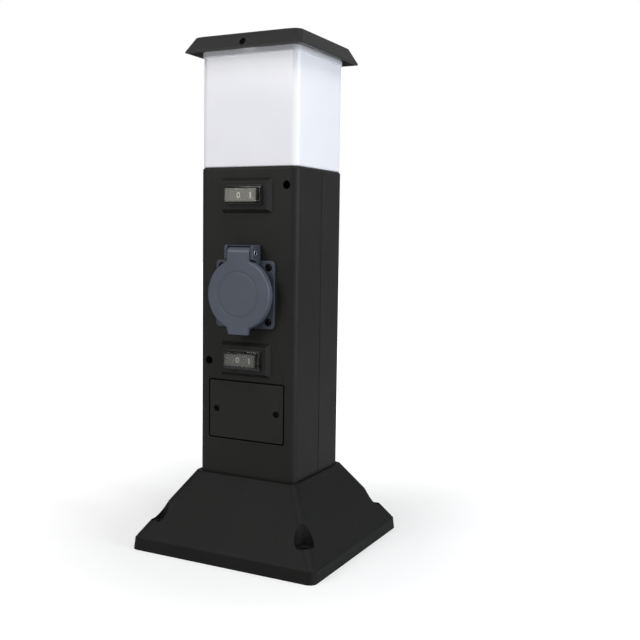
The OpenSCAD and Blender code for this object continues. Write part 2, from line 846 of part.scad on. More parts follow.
module terminal_block() {
    color("#e6e2d3")
    translate([0, block_y, panel_z])
    difference() {
        translate([-block_w / 2, 0, -block_h / 2]) cube([block_w, block_d, block_h]);
        for (x = pole_x) {
            translate([x, block_d / 2, -block_h]) cylinder(h = 2 * block_h, r = pole_r);
            for (z = [-1, 1]) translate([x, -1, z * block_h / 4])
                rotate([-90, 0, 0]) cylinder(h = block_d / 2, r = pole_screw_r + 0.3);
        }
        for (x = [-1, 1]) translate([x * block_post_x, -1, 0])
            rotate([-90, 0, 0]) {
                cylinder(h = block_d + 2, r = block_hole_r);
                cylinder(h = block_screw_head_h + 2, r = block_screw_head_r + 0.3);
            }
    }
}

module terminal_clamps() {
    clamp_r = pole_r - screw_gap;
    color(brass)
    for (x = pole_x) translate([x, block_y + block_d / 2, panel_z]) {
        translate([0, 0, -clamp_l / 2]) cylinder(h = clamp_l, r = clamp_r);
        for (z = [-1, 1]) translate([0, 0, z * block_h / 4])
            rotate([90, 0, 0]) cylinder(h = block_d / 2 - 2, r = pole_screw_r);
    }
}

module terminal_block_screws() {
    color(steel)
    for (x = [-1, 1])
        translate([x * block_post_x, block_y + block_screw_head_h + 1, panel_z])
            rotate([90, 0, 0]) screw(block_screw_head_r, block_screw_head_h, block_screw_r, block_screw_l);
}

// Switches

module switch_body(z) {
    on_front(0, z)
    difference() {
        union() {
            translate([0, 0, switch_back])
                linear_extrude(surround_proud - switch_back)
                    square([switch_w, switch_h], center = true);
            translate([0, 0, surround_proud])
                linear_extrude(frame_t) rounded_rect(frame_w, frame_h, 1);
            for (x = [-1, 1])
                translate([x * (switch_w / 2 + switch_clip_t / 2 - eps), 0, -shell_wall - seat_gap - 1])
                    cube([switch_clip_t, 4, 2], center = true);
        }
        translate([0, 0, cavity_back])
            linear_extrude(surround_proud + frame_t - cavity_back + 1)
                square([cavity_w, cavity_h], center = true);
        translate([0, switch_h, pivot_out])
            rotate([90, 0, 0]) cylinder(h = 2 * switch_h, r = trunnion_r + running_gap);
        for (x = [-1, 0, 1])
            translate([x * switch_tab_x, 0, switch_back])
                cube([switch_tab_w + 0.1, switch_tab_t + 0.1, 8], center = true);
    }
}

// Rocker tipped to its off side, on two trunnions
module rocker(z) {
    half = rocker_w / 2;
    shoulder = rocker_top - 2.6;
    on_front(0, z)
    translate([0, 0, pivot_out])
    rotate([0, -rocker_tilt, 0])
    translate([0, 0, -pivot_out])
    union() {
        rotate([90, 0, 0])
            linear_extrude(rocker_h, center = true)
                polygon([[-half, rocker_top], [-half, shoulder], [-half / 2, rocker_belly],
                         [half / 2, rocker_belly], [half, shoulder], [half, rocker_top],
                         [0, rocker_top - 0.6]]);
        translate([0, switch_h / 2 - 0.3, pivot_out])
            rotate([90, 0, 0]) cylinder(h = switch_h - 0.6, r = trunnion_r);
    }
}

// Flexible see-through boot over the rocker
module boot(z) {
    foot_w = boot_w + 2 * boot_draft;
    foot_h = boot_h + 2 * boot_draft;
    dome_h = boot_proud - frame_t;
    on_front(0, z)
    translate([0, 0, surround_proud + frame_t])
    difference() {
        union() {
            linear_extrude(boot_foot_t) rounded_rect(boot_foot_w, boot_foot_h, 1);
            frustum_block(foot_w, foot_h, boot_w, boot_h, dome_h);
        }
        translate([0, 0, -eps])
            frustum_block(foot_w - 2 * boot_wall, foot_h - 2 * boot_wall,
                          boot_w - 2 * boot_wall, boot_h - 2 * boot_wall, dome_h - boot_wall + eps);
    }
}

// Three tabs at the back of a switch
module switch_tabs(z) {
    on_front(0, z)
    for (x = [-1, 0, 1])
        translate([x * switch_tab_x - switch_tab_w / 2, -switch_tab_t / 2, switch_back - switch_tab_l])
            cube([switch_tab_w, switch_tab_t, switch_tab_l + 3.9]);
}

module upper_switch_body() { color(rubber) switch_body(switch_upper_z); }
module upper_rocker() { color("#3a3a3a") rocker(switch_upper_z); }
module upper_boot() { color(smoke) boot(switch_upper_z); }
module upper_switch_tabs() { color(brass) switch_tabs(switch_upper_z); }
module lower_switch_body() { color(rubber) switch_body(switch_lower_z); }
module lower_rocker() { color("#3a3a3a") rocker(switch_lower_z); }
module lower_boot() { color(smoke) boot(switch_lower_z); }
module lower_switch_tabs() { color(brass) switch_tabs(switch_lower_z); }

// Socket outlet

// Side view of a hinge ear, in the directions outwards and up
module ear_side() {
    low = flange_w / 2 - 3;
    front = ear_front - flange_back;
    translate([flange_back, low]) square([lid_back - lid_clear - flange_back, hinge_top - low]);
    translate([flange_back, hinge_up - ear_r])
        square([hinge_out - flange_back, hinge_top - hinge_up + ear_r]);
    translate([flange_back, hinge_up]) square([front, hinge_top - hinge_up - ear_corner_r]);
    translate([flange_back, hinge_up]) square([front - ear_corner_r, hinge_top - hinge_up]);
    translate([ear_front - ear_corner_r, hinge_top - ear_corner_r]) circle(ear_corner_r);
    intersection() {
        translate([hinge_out, hinge_up]) circle(ear_r);
        translate([flange_back, low]) square([front, hinge_top - low]);
    }
}

// Extrudes a side view along X, about the middle
module across(l) {
    rotate([90, 0, 90]) linear_extrude(l, center = true) rotate(90) mirror([0, 1]) children();
}

module socket_flange() {
    color(blue_grey)
    on_front(0, socket_z)
    difference() {
        union() {
            translate([0, 0, flange_back])
                linear_extrude(flange_t) rounded_rect(flange_w, flange_w, flange_corner_r);
            translate([0, 0, tube_back]) cylinder(h = collar_proud_h - tube_back, r = tube_r);
            for (x = [-1, 1]) translate([x * (ear_out - ear_t / 2), 0, 0]) across(ear_t) ear_side();
            translate([-ear_out, flange_w / 2 - 3, flange_back])
                cube([2 * ear_out, hinge_top - flange_w / 2 + 3, hinge_back_t]);
            translate([-ear_out, hinge_top - hinge_wall_t, flange_back])
                cube([2 * ear_out, hinge_wall_t, hinge_out + 2 - flange_back]);
        }
        translate([0, 0, tube_back - 1]) cylinder(h = collar_proud_h - tube_back + 2, r = tube_bore_r);
        translate([0, 0, bead_at - bead_h / 2 - seat_gap])
            cylinder(h = bead_h + 2 * seat_gap, r = insert_r + bead_out + seat_gap);
        translate([0, hinge_up, hinge_out])
            rotate([0, 90, 0]) cylinder(h = 2 * ear_out + 2, r = hinge_pin_r + 0.02, center = true);
        for (x = [-1, 1], y = [-1, 1]) translate([x * flange_screw_at, y * flange_screw_at, 0]) {
            cylinder(h = flange_front + 1, r = flange_screw_r + screw_gap);
            translate([0, 0, flange_front - flange_screw_recess])
                cylinder(h = flange_screw_recess + 1, r = flange_screw_recess_r);
        }
    }
}

module socket_gasket() {
    gasket_w = flange_w + 2 * flange_gasket_lip;
    color(rubber)
    on_front(0, socket_z)
    difference() {
        linear_extrude(flange_gasket_t)
            rounded_rect(gasket_w, gasket_w, flange_corner_r + flange_gasket_lip);
        translate([0, 0, -1]) cylinder(h = flange_gasket_t + 2, r = shell_hole_r);
        for (x = [-1, 1], y = [-1, 1]) translate([x * flange_screw_at, y * flange_screw_at, -1])
            cylinder(h = flange_gasket_t + 2, r = flange_screw_r + screw_gap);
    }
}

module flange_screws() {
    color(steel)
    for (x = [-1, 1], y = [-1, 1])
        on_front(x * flange_screw_at, socket_z + y * flange_screw_at)
            translate([0, 0, flange_front - flange_screw_recess])
                screw(flange_screw_head_r, flange_screw_head_h, flange_screw_r, flange_screw_l);
}

module socket_insert() {
    color("#3c4048")
    on_front(0, socket_z)
    difference() {
        union() {
            translate([0, 0, insert_back]) cylinder(h = insert_front - insert_back, r = insert_r);
            translate([0, 0, bead_at - bead_h / 2]) cylinder(h = bead_h, r = insert_r + bead_out);
        }
        translate([0, 0, well_floor]) cylinder(h = well_depth + 1, r = well_r);
        for (x = [-1, 1]) translate([x * pin_pitch / 2, 0, 0]) {
            translate([0, 0, insert_back - 1]) cylinder(h = well_floor - insert_back + 2, r = pin_hole_r);
            translate([0, 0, insert_back - 1])
                cylinder(h = contact_front - insert_back + 1 + screw_gap, r = contact_r + screw_gap);
        }
        for (y = [-1, 1]) translate([0, y * strap_up, insert_back])
            cube([strap_w + 0.4, strap_t + 0.4, 2 * (well_floor - insert_back) + 2], center = true);
    }
}

module socket_contacts() {
    color(brass)
    on_front(0, socket_z)
    for (x = [-1, 1]) translate([x * pin_pitch / 2, 0, contact_back])
        difference() {
            cylinder(h = contact_front - contact_back, r = contact_r);
            translate([0, 0, contact_front - contact_back - 13]) cylinder(h = 14, r = contact_bore_r);
        }
}

// Earth clips at the top and bottom of the well, joined behind the insert
module earth_strap() {
    clip_top = insert_front - 3;
    color(brass)
    on_front(0, socket_z) {
        for (y = [-1, 1])
            translate([-strap_w / 2, y * strap_up - strap_t / 2, strap_back])
                cube([strap_w, strap_t, clip_top - strap_back]);
        translate([-strap_w / 2, -strap_up, strap_back]) cube([strap_w, 2 * strap_up, strap_t]);
    }
}

// Lid, drawn shut over the collar

module lid_profile() {
    translate([0, lid_face - lid_face_t]) square([lid_r - lid_round, lid_face_t]);
    translate([lid_r - lid_wall, lid_back]) square([lid_wall, lid_face - lid_round - lid_back]);
    translate([lid_r - lid_round, lid_face - lid_round]) circle(lid_round);
    translate([lid_r - lid_wall - eps, lid_face - lid_face_t])
        square([lid_wall + eps, lid_face_t - lid_round]);
}

// Runs the lid's face on over its round rim, out to the neck or the tab
module face_web(w) {
    translate([-w / 2, lid_r - face_root, lid_face - lid_face_t]) cube([w, face_root, lid_face_t]);
}

// Finger tab at the foot of the lid, narrower towards its tip
module lid_tab() {
    polygon([[-tab_w / 2, lid_root - lid_r], [-tab_tip_w / 2, -lid_r - tab_down],
             [tab_tip_w / 2, -lid_r - tab_down], [tab_w / 2, lid_root - lid_r]]);
}

module socket_lid() {
    color(blue_grey)
    on_front(0, socket_z)
    difference() {
        union() {
            rotate_extrude() lid_profile();
            face_web(neck_w);
            rotate(180) face_web(tab_w);
            translate([-neck_w / 2, lid_r - lid_root, lid_face - neck_t])
                cube([neck_w, hinge_up - lid_r + lid_root, neck_t]);
            translate([0, hinge_up, hinge_out])
                rotate([0, 90, 0]) cylinder(h = neck_w, r = knuckle_r, center = true);
            translate([0, 0, lid_face - tab_t]) linear_extrude(tab_t) lid_tab();
        }
        rotate_extrude()
            translate([lid_ring_r, lid_face - lid_ring_deep]) square([lid_ring_w, 1]);
        translate([0, hinge_up, hinge_out]) rotate([0, 90, 0]) {
            cylinder(h = neck_w + 2, r = hinge_pin_r + running_gap, center = true);
            cylinder(h = spring_bay_w, r = spring_bay_r, center = true);
        }
        translate([-spring_bay_w / 2, hinge_up - spring_bay_r, hinge_out - knuckle_r - 1])
            cube([spring_bay_w, 2 * spring_bay_r, knuckle_r + 1]);
    }
}

module lid_seal() {
    low = collar_proud_h + lid_seal_gap;
    color(rubber)
    on_front(0, socket_z)
    translate([0, 0, low])
    difference() {
        cylinder(h = lid_face - lid_face_t - low, r = lid_seal_out);
        translate([0, 0, -1]) cylinder(h = lid_face, r = lid_seal_in);
    }
}

module lid_hinge_pin() {
    color(steel)
    on_front(0, socket_z)
    translate([0, hinge_up, hinge_out])
        rotate([0, 90, 0]) cylinder(h = 2 * ear_out, r = hinge_pin_r, center = true);
}

// Torsion spring: a back leg, the curls and a front leg that bears on the neck, about the hinge pin
spring_curls = [for (i = [0 : spring_turns * spring_rings])
    let (a = 360 * i / spring_rings)
    [spring_pitch * (i / spring_rings - spring_turns / 2), spring_r * cos(a), spring_r * sin(a)]];
spring_start = spring_curls[0];
spring_end = spring_curls[len(spring_curls) - 1];
spring_path = concat(
    [for (k = [3 : -1 : 1]) [spring_start[0], spring_start[1], -spring_back_leg * k / 3]],
    spring_curls,
    [for (k = [1 : 2]) [spring_end[0], spring_end[1], spring_front_leg * k / 2]]);
spring_gap = min([for (i = [0 : len(spring_path) - 1], j = [i + spring_rings / 2 : 1 : len(spring_path) - 1])
    norm(spring_path[i] - spring_path[j])]) - 2 * spring_wire_r;
echo(spring_gap = spring_gap);

module lid_spring() {
    color(steel)
    on_front(0, socket_z)
    translate([0, hinge_up, hinge_out]) tube(spring_path, spring_wire_r, 6, [1, 0, 0]);
}

// Lamp head

module lamp_plate() {
    color("#d8d8d8")
    difference() {
        union() {
            translate([0, 0, plate_rib_z]) linear_extrude(plate_t) column_section(shell_wall + 0.3);
            translate([0, 0, plate_top_z - eps])
                linear_extrude(spigot_top_z - plate_top_z + eps) column_band(spigot_in, spigot_in + spigot_t);
        }
        for (x = [-1, 1], y = [-1, 1])
            translate([x * plate_screw_x, y * plate_screw_y, plate_rib_z - 1])
                cylinder(h = plate_t + 2, r = plate_screw_r + screw_gap);
        for (x = [-1, 1])
            translate([x * lamp_wire_hole_x, 0, plate_rib_z - 1]) cylinder(h = plate_t + 2, r = wire_r + 0.6);
    }
}

module lamp_plate_screws() {
    color(steel)
    for (x = [-1, 1], y = [-1, 1])
        translate([x * plate_screw_x, y * plate_screw_y, plate_top_z])
            screw(plate_screw_head_r, plate_screw_head_h, plate_screw_r, plate_screw_l);
}

module lamp_holder() {
    color("#f0efe8")
    translate([0, 0, plate_top_z])
    difference() {
        cylinder(h = holder_h, r = holder_r);
        translate([0, 0, holder_floor_t]) cylinder(h = holder_h, r = holder_r - holder_wall);
        for (x = [-1, 1])
            translate([x * lamp_wire_hole_x, 0, -1]) cylinder(h = holder_floor_t + 2, r = wire_r + 0.3);
    }
    translate([0, 0, plate_top_z + holder_floor_t])
        color("#f0efe8")
        difference() {
            translate([0, 0, -eps])
                cylinder(h = holder_h - holder_floor_t - 6, r = holder_r - holder_wall + eps);
            translate([0, 0, -1]) cylinder(h = holder_h, r = lamp_thread_r + seat_gap);
        }
}

module lamp_contact() {
    color(brass)
    translate([0, 0, plate_top_z + holder_floor_t]) cylinder(h = lamp_contact_h, r = 3.5);
}

module lamp_screw_cap() {
    color(steel)
    translate([0, 0, lamp_cap_z])
    difference() {
        union() {
            cylinder(h = lamp_cap_h, r = lamp_thread_r);
            translate([0, 0, -0.35]) cylinder(h = 0.36, r = 4);
        }
        translate([0, 0, lamp_skin]) cylinder(h = lamp_cap_h, r = lamp_thread_r - lamp_skin);
    }
}

module lamp_bulb() {
    color("#ffffff")
    difference() {
        translate([0, 0, bulb_z]) sphere(bulb_r);
        translate([0, 0, bulb_z]) sphere(bulb_r - lamp_skin);
        translate([0, 0, lamp_cap_z + lamp_cap_h - 2 * bulb_r]) cylinder(h = 2 * bulb_r, r = bulb_r + 1);
    }
}

module diffuser() {
    height = diffuser_top_z - column_top_z;
    color(opal)
    difference() {
        union() {
            translate([0, 0, column_top_z])
                linear_extrude(height) column_band(diffuser_in, diffuser_in + diffuser_wall);
            translate([0, 0, eaves_z - collar_h])
                linear_extrude(collar_h + 1.5)
                    column_band(diffuser_in - collar_proud, diffuser_in + diffuser_wall - eps);
            for (y = [-1, 1])
                translate([-roof_pad_w / 2, y > 0 ? diffuser_y - eps : -roof_pad_y,
                           roof_screw_z - roof_pad_h / 2])
                    cube([roof_pad_w, roof_pad_y - diffuser_y + eps, roof_pad_h]);
        }
        for (y = [-1, 1])
            translate([0, y * (roof_pad_y + 1), roof_screw_z])
                rotate([y * 90, 0, 0])
                    cylinder(h = roof_pad_y - diffuser_y + diffuser_wall, r = roof_screw_r + screw_gap);
    }
}

module diffuser_seal() {
    color(rubber)
    translate([0, 0, seal_z])
        linear_extrude(seal_h) column_band(diffuser_in + diffuser_wall + 0.1, spigot_in - 0.1);
}

module roof_cap() {
    eaves = [roof_w / 2, roof_d / 2];
    top = eaves - [roof_inset, roof_inset];
    in = [roof_wall, roof_wall];
    color(charcoal)
    difference() {
        union() {
            difference() {
                tapered_solid(eaves, top, eaves_corner_r, roof_top_corner_r,
                              eaves_z, roof_top_z, roof_edge_t);
                translate([0, 0, -roof_wall])
                    tapered_solid(eaves - in * 0.4, top - in * 0.8, eaves_corner_r, roof_top_corner_r - 1,
                                  eaves_z, roof_top_z, roof_edge_t);
            }
            for (y = [-1, 1])
                translate([-roof_pad_w / 2, y > 0 ? roof_pad_y + 0.1 : -roof_face_y + 0.6,
                           roof_screw_z - roof_pad_h / 2])
                    cube([roof_pad_w, roof_face_y - 0.7 - roof_pad_y, roof_pad_h]);
        }
        for (y = [-1, 1]) {
            translate([0, y * (roof_pad_y - 1), roof_screw_z])
                rotate([-y * 90, 0, 0]) cylinder(h = roof_d, r = roof_screw_r + screw_gap);
            translate([0, y * roof_screw_seat_y, roof_screw_z])
                rotate([-y * 90, 0, 0]) cylinder(h = roof_d, r = roof_screw_head_r + 0.3);
        }
    }
}

module roof_screws() {
    color(steel)
    for (y = [-1, 1])
        translate([0, y * roof_screw_seat_y, roof_screw_z])
            rotate([-y * 90, 0, 0]) screw(roof_screw_head_r, roof_screw_head_h, roof_screw_r, roof_screw_l);
}

// Wires inside the column: their ends are worked out, the points between are set by hand
clamp_top_z = panel_z + clamp_l / 2 + wire_gap;
block_mid_y = block_y + block_d / 2;
contact_end_y = front_y - contact_back + wire_gap;
strap_end_y = front_y - strap_back + wire_gap;
switch_end_y = front_y - switch_back + switch_tab_l + wire_gap;
holder_end_z = plate_top_z + holder_floor_t - 0.5;

// End of a wire in a terminal, and the straight stretch out of it
function from_block(x) = [[x, block_mid_y, clamp_top_z], [x, block_mid_y, clamp_top_z + 7]];
// End of a wire on a switch tab
function to_switch(x, z) = [[x, switch_end_y + 8, z], [x, switch_end_y, z]];
// End of a wire in the lamp holder's floor
function to_holder(x) = [[x, 0, holder_end_z - 7], [x, 0, holder_end_z]];

module lower_feed_wire() {
    color("saddlebrown")
    wire(concat(from_block(pole_x[0] + pair_x), [[-8, 7, 134], [-8, 1, 144]],
                to_switch(-switch_tab_x, switch_lower_z)));
}

module upper_feed_wire() {
    color("saddlebrown")
    wire(concat(from_block(pole_x[0] - pair_x),
                [[-16, 14, 138], [-24, 20, 160], [-26, 22, 196], [-23, 18, 234], [-13, 4, 259]],
                to_switch(-switch_tab_x, switch_upper_z)));
}

module lamp_live_wire() {
    color("saddlebrown")
    wire(concat([[switch_tab_x, switch_end_y, switch_upper_z],
                 [switch_tab_x, switch_end_y + 6, switch_upper_z],
                 [8, -3, 272.5], [6.6, -0.5, 278]], to_holder(lamp_wire_hole_x)));
}

module lamp_neutral_wire() {
    color("royalblue")
    wire(concat(from_block(pole_x[1] - pair_x),
                [[-2, 16, 138], [0, 25, 165], [2, 27, 200], [0, 26, 235], [-4, 17, 262], [-6, 4, 277]],
                to_holder(-lamp_wire_hole_x)));
}

module socket_live_wire() {
    color("saddlebrown")
    wire([[switch_tab_x, switch_end_y, switch_lower_z], [switch_tab_x, switch_end_y + 7, switch_lower_z],
          [8.5, 2, 151], [9, 9, 162], [9.5, 10, 176], [9.5, 6, 188],
          [pin_pitch / 2, contact_end_y + 7, socket_z - 1], [pin_pitch / 2, contact_end_y, socket_z]]);
}

module socket_neutral_wire() {
    color("royalblue")
    wire(concat(from_block(pole_x[1] + pair_x),
                [[2.5, 9, 136], [-2, 13, 154], [-8, 13, 174], [-9.5, 8, 188],
                 [-pin_pitch / 2, contact_end_y + 8, socket_z - 1],
                 [-pin_pitch / 2, contact_end_y, socket_z]]));
}

module socket_earth_wire() {
    color("olivedrab")
    wire(concat(from_block(pole_x[2]),
                [[13, 12, 138], [12, 18, 158], [5, 18, 178], [0, 10, 190],
                 [0, strap_end_y + 10, socket_z - 1], [0, strap_end_y, socket_z]]));
}

base_plinth();
base_screws();
gland_body();
gland_cap();
gland_lock_nut();
gland_seal();
front_shell();
rear_shell();
shell_screws();
access_panel();
panel_gasket();
panel_screws();
terminal_block();
terminal_clamps();
terminal_block_screws();
upper_switch_body();
upper_rocker();
upper_boot();
upper_switch_tabs();
lower_switch_body();
lower_rocker();
lower_boot();
lower_switch_tabs();
socket_flange();
socket_gasket();
flange_screws();
socket_insert();
socket_contacts();
earth_strap();
socket_lid();
lid_seal();
lid_hinge_pin();
lid_spring();
lamp_plate();
lamp_plate_screws();
lamp_holder();
lamp_contact();
lamp_bulb();
lamp_screw_cap();
diffuser();
diffuser_seal();
roof_cap();
roof_screws();
lamp_live_wire();
lamp_neutral_wire();
socket_live_wire();
socket_neutral_wire();
socket_earth_wire();
upper_feed_wire();
lower_feed_wire();
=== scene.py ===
# Looks of the garden socket post: mould-rounded edges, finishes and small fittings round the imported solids.
# Metres, front face towards -Y, +Z up.
import json
import math

import bmesh
import bpy
from mathutils import Matrix, Vector
from mathutils.bvhtree import BVHTree


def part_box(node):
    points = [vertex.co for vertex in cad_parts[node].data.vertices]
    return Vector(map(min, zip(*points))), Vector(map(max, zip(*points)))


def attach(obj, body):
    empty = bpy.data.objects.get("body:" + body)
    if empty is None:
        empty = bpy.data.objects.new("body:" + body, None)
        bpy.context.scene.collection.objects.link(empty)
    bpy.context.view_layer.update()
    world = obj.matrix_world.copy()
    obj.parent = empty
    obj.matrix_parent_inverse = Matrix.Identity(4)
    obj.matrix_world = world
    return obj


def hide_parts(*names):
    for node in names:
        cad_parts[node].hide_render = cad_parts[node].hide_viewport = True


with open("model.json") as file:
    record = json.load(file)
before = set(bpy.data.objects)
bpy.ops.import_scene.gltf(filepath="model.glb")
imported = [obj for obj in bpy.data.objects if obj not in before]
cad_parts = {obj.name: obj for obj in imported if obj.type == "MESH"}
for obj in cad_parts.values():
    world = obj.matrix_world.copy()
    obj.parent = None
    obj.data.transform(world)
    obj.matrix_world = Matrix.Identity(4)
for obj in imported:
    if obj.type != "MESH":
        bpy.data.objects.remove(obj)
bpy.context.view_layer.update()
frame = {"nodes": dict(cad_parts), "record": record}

MM = 0.001
nodes = frame["nodes"]
node_slots = {part["node"]: part["material_slot"] for part in frame["record"]["subparts"]}
node_bodies = {
    node: body
    for body, members in frame["record"]["behaviour"]["bodies"].items()
    for node in members
}

# Camera, matched to the photograph's viewpoint
CAMERA_AT = (0.35306, -0.61329, 0.23982)
CAMERA_AZIMUTH = 26.85
CAMERA_PITCH = 5.26
CAMERA_ROLL = -0.84
CAMERA_LENS_MM = 51.05
CAMERA_SENSOR_MM = 36.0


def make_camera():
    """The camera at its place, turned by its azimuth and pitch and rolled a little."""
    azimuth = math.radians(CAMERA_AZIMUTH)
    pitch = math.radians(CAMERA_PITCH)
    roll = math.radians(CAMERA_ROLL)
    back = Vector((
        math.sin(azimuth) * math.cos(pitch),
        -math.cos(azimuth) * math.cos(pitch),
        math.sin(pitch),
    ))
    level_right = (-back).cross(Vector((0, 0, 1))).normalized()
    level_down = (-back).cross(level_right)
    right = math.cos(roll) * level_right + math.sin(roll) * level_down
    up = math.sin(roll) * level_right - math.cos(roll) * level_down
    data = bpy.data.cameras.new("photo_camera")
    data.lens = CAMERA_LENS_MM
    data.sensor_width = CAMERA_SENSOR_MM
    camera = bpy.data.objects.new("photo_camera", data)
    turn = Matrix((right, up, back)).transposed().to_4x4()
    camera.matrix_world = Matrix.Translation(CAMERA_AT) @ turn
    bpy.context.collection.objects.link(camera)
    bpy.context.scene.camera = camera


# Node trees


def linear(hex_colour):
    """An sRGB hex colour as linear red, green, blue and alpha."""
    parts = [int(hex_colour[i:i + 2], 16) / 255 for i in (1, 3, 5)]
    return tuple(c / 12.92 if c <= 0.04045 else ((c + 0.055) / 1.055) ** 2.4 for c in parts) + (1.0,)


def add(tree, kind, inputs=None, **settings):
    """Adds a node with its settings, and sets or links its inputs. A list is several links to one input."""
    node = tree.nodes.new(kind)
    for name, value in settings.items():
        setattr(node, name, value)
    for key, value in (inputs or {}).items():
        for source in value if isinstance(value, list) else [value]:
            if isinstance(source, bpy.types.NodeSocket):
                tree.links.new(source, node.inputs[key])
            else:
                node.inputs[key].default_value = source
    return node


def maths(tree, operation, first, second):
    """The result of one operation on two values."""
    return add(tree, "ShaderNodeMath", {0: first, 1: second}, operation=operation).outputs[0]


def noise(tree, place, size_mm, detail, roughness=0.5):
    """Cloudy noise from nought to one, with clouds of about a size."""
    clouds = add(tree, "ShaderNodeTexNoise",
                 {"Vector": place, "Scale": 1 / (size_mm * MM), "Detail": detail, "Roughness": roughness})
    return clouds.outputs["Fac"]


def mapped(tree, value, low, high, low_from=0.0, high_from=1.0):
    """A value taken from one range to another, and held inside it."""
    change = add(tree, "ShaderNodeMapRange",
                 {"Value": value, "From Min": low_from, "From Max": high_from, "To Min": low, "To Max": high})
    return change.outputs["Result"]


def two_tones(tree, value, low_hex, high_hex, low_at=0.3, high_at=0.75):
    """A colour between two, by a value."""
    tone = add(tree, "ShaderNodeValToRGB", {"Fac": value})
    for i, (place, colour) in enumerate(((low_at, low_hex), (high_at, high_hex))):
        tone.color_ramp.elements[i].position = place
        tone.color_ramp.elements[i].color = linear(colour)
    return tone.outputs["Color"]


def new_material(name):
    """An empty material, its node tree and the tree's place on the object."""
    material = bpy.data.materials.new(name)
    material.use_nodes = True
    tree = material.node_tree
    tree.nodes.clear()
    return material, tree, add(tree, "ShaderNodeTexCoord").outputs["Object"]


def finish_material(tree, shader):
    """Makes a shader the tree's surface."""
    add(tree, "ShaderNodeOutputMaterial", {"Surface": shader.outputs[0]})


# Materials

DRIFT_MM = 45


def spark_eroded_plastic(name, low_hex, high_hex, roughness, specular, grain_mm=0.7, grain_depth_mm=0.05):
    """Plastic from a spark-eroded mould: an even matt grain, with slow drifts of tone and sheen."""
    material, tree, place = new_material(name)
    # The real grain is about 0.2 mm, too fine for the picture, so it is drawn coarser
    grain = noise(tree, place, grain_mm, detail=3.0, roughness=0.6)
    drift = noise(tree, place, DRIFT_MM, detail=4.0, roughness=0.55)
    bump = add(tree, "ShaderNodeBump",
               {"Height": grain, "Strength": 0.35, "Distance": grain_depth_mm * MM})
    shader = add(tree, "ShaderNodeBsdfPrincipled", {
        "Base Color": two_tones(tree, drift, low_hex, high_hex, low_at=0.35, high_at=0.7),
        "Roughness": mapped(tree, grain, roughness - 0.05, roughness + 0.06, low_from=0.3, high_from=0.7),
        "Normal": bump.outputs["Normal"],
        "IOR": 1.53,
        "Specular IOR Level": specular,
    })
    finish_material(tree, shader)
    return material


def opal_acrylic():
    """Moulded opal acrylic: milky white with a clear gloss and faint flow clouds."""
    material, tree, place = new_material("opal_acrylic_moulded")
    clouds = noise(tree, place, size_mm=60, detail=2.0)
    ripple = noise(tree, place, size_mm=12, detail=1.0)
    bump = add(tree, "ShaderNodeBump", {"Height": ripple, "Strength": 0.1, "Distance": 0.05 * MM})
    shader = add(tree, "ShaderNodeBsdfPrincipled", {
        "Base Color": two_tones(tree, clouds, "#f2f2f8", "#f7f7fc"),
        "Roughness": 0.12,
        "IOR": 1.49,
        "Normal": bump.outputs["Normal"],
    })
    finish_material(tree, shader)
    return material


# Depths behind a boot's face over which its frosted skin ends, and over which it turns smoky
BOOT_SKIN = (0.1 * MM, 0.5 * MM)
BOOT_TINT = (1.2 * MM, 2.2 * MM)


def clear_pvc(name, front_y, front_hex, skin_clear):
    """Soft clear PVC: the front's outer skin is frosted and milky, and the sides are smoky and clear."""
    material, tree, place = new_material(name)
    along = add(tree, "ShaderNodeSeparateXYZ", {"Vector": place}).outputs["Y"]
    skin = [front_y + depth for depth in BOOT_SKIN]
    tint = [front_y + depth for depth in BOOT_TINT]
    smoke = mapped(tree, along, 0.0, 1.0, *tint)
    shader = add(tree, "ShaderNodeBsdfPrincipled", {
        "Base Color": two_tones(tree, smoke, front_hex, "#8a8880", low_at=0.0, high_at=1.0),
        "Roughness": mapped(tree, along, 0.2, 0.07, *skin),
        "IOR": 1.52,
        "Transmission Weight": mapped(tree, along, skin_clear, 0.97, *skin),
    })
    finish_material(tree, shader)
    return material


def plain_plastic(name, low_hex, high_hex, roughness, cloud_mm):
    """Smooth moulded plastic, rubber or ink, with a slow drift of tone and sheen."""
    material, tree, place = new_material(name)
    clouds = noise(tree, place, cloud_mm, detail=4.0)
    shader = add(tree, "ShaderNodeBsdfPrincipled", {
        "Base Color": two_tones(tree, clouds, low_hex, high_hex),
        "Roughness": mapped(tree, clouds, roughness - 0.06, roughness + 0.06),
        "IOR": 1.5,
    })
    finish_material(tree, shader)
    return material


def worked_metal(name, low_hex, high_hex, roughness, grain_mm):
    """Plated or pressed metal: fine scratches in its sheen and a slight drift of colour."""
    material, tree, place = new_material(name)
    scratches = noise(tree, place, grain_mm, detail=5.0, roughness=0.7)
    shader = add(tree, "ShaderNodeBsdfPrincipled", {
        "Base Color": two_tones(tree, scratches, low_hex, high_hex, high_at=0.7),
        "Roughness": mapped(tree, scratches, roughness - 0.1, roughness + 0.12),
        "Metallic": 1.0,
    })
    finish_material(tree, shader)
    return material


def coated_glass():
    """Lamp glass, coated white inside: soft white with an uneven gloss."""
    material, tree, place = new_material("lamp_glass_coated")
    coat = noise(tree, place, size_mm=8, detail=3.0)
    shader = add(tree, "ShaderNodeBsdfPrincipled", {
        "Base Color": linear("#f4f3ee"),
        "Roughness": mapped(tree, coat, 0.12, 0.28),
        "IOR": 1.52,
    })
    finish_material(tree, shader)
    return material


# Each takes the two colours that it drifts between and its roughness, then its specular level, or the size
# of its clouds or its grain in mm
shell_abs = spark_eroded_plastic("abs_charcoal_spark_eroded", "#181816", "#1d1d1b", 0.5, 0.22)
# The rear shell and the wiring panel are painted a shade paler than the front shell, as painted light on the
# column's rear
rear_abs_painted_paler = spark_eroded_plastic("abs_charcoal_rear_painted_paler", "#1c1c1a", "#21211f", 0.5, 0.22)
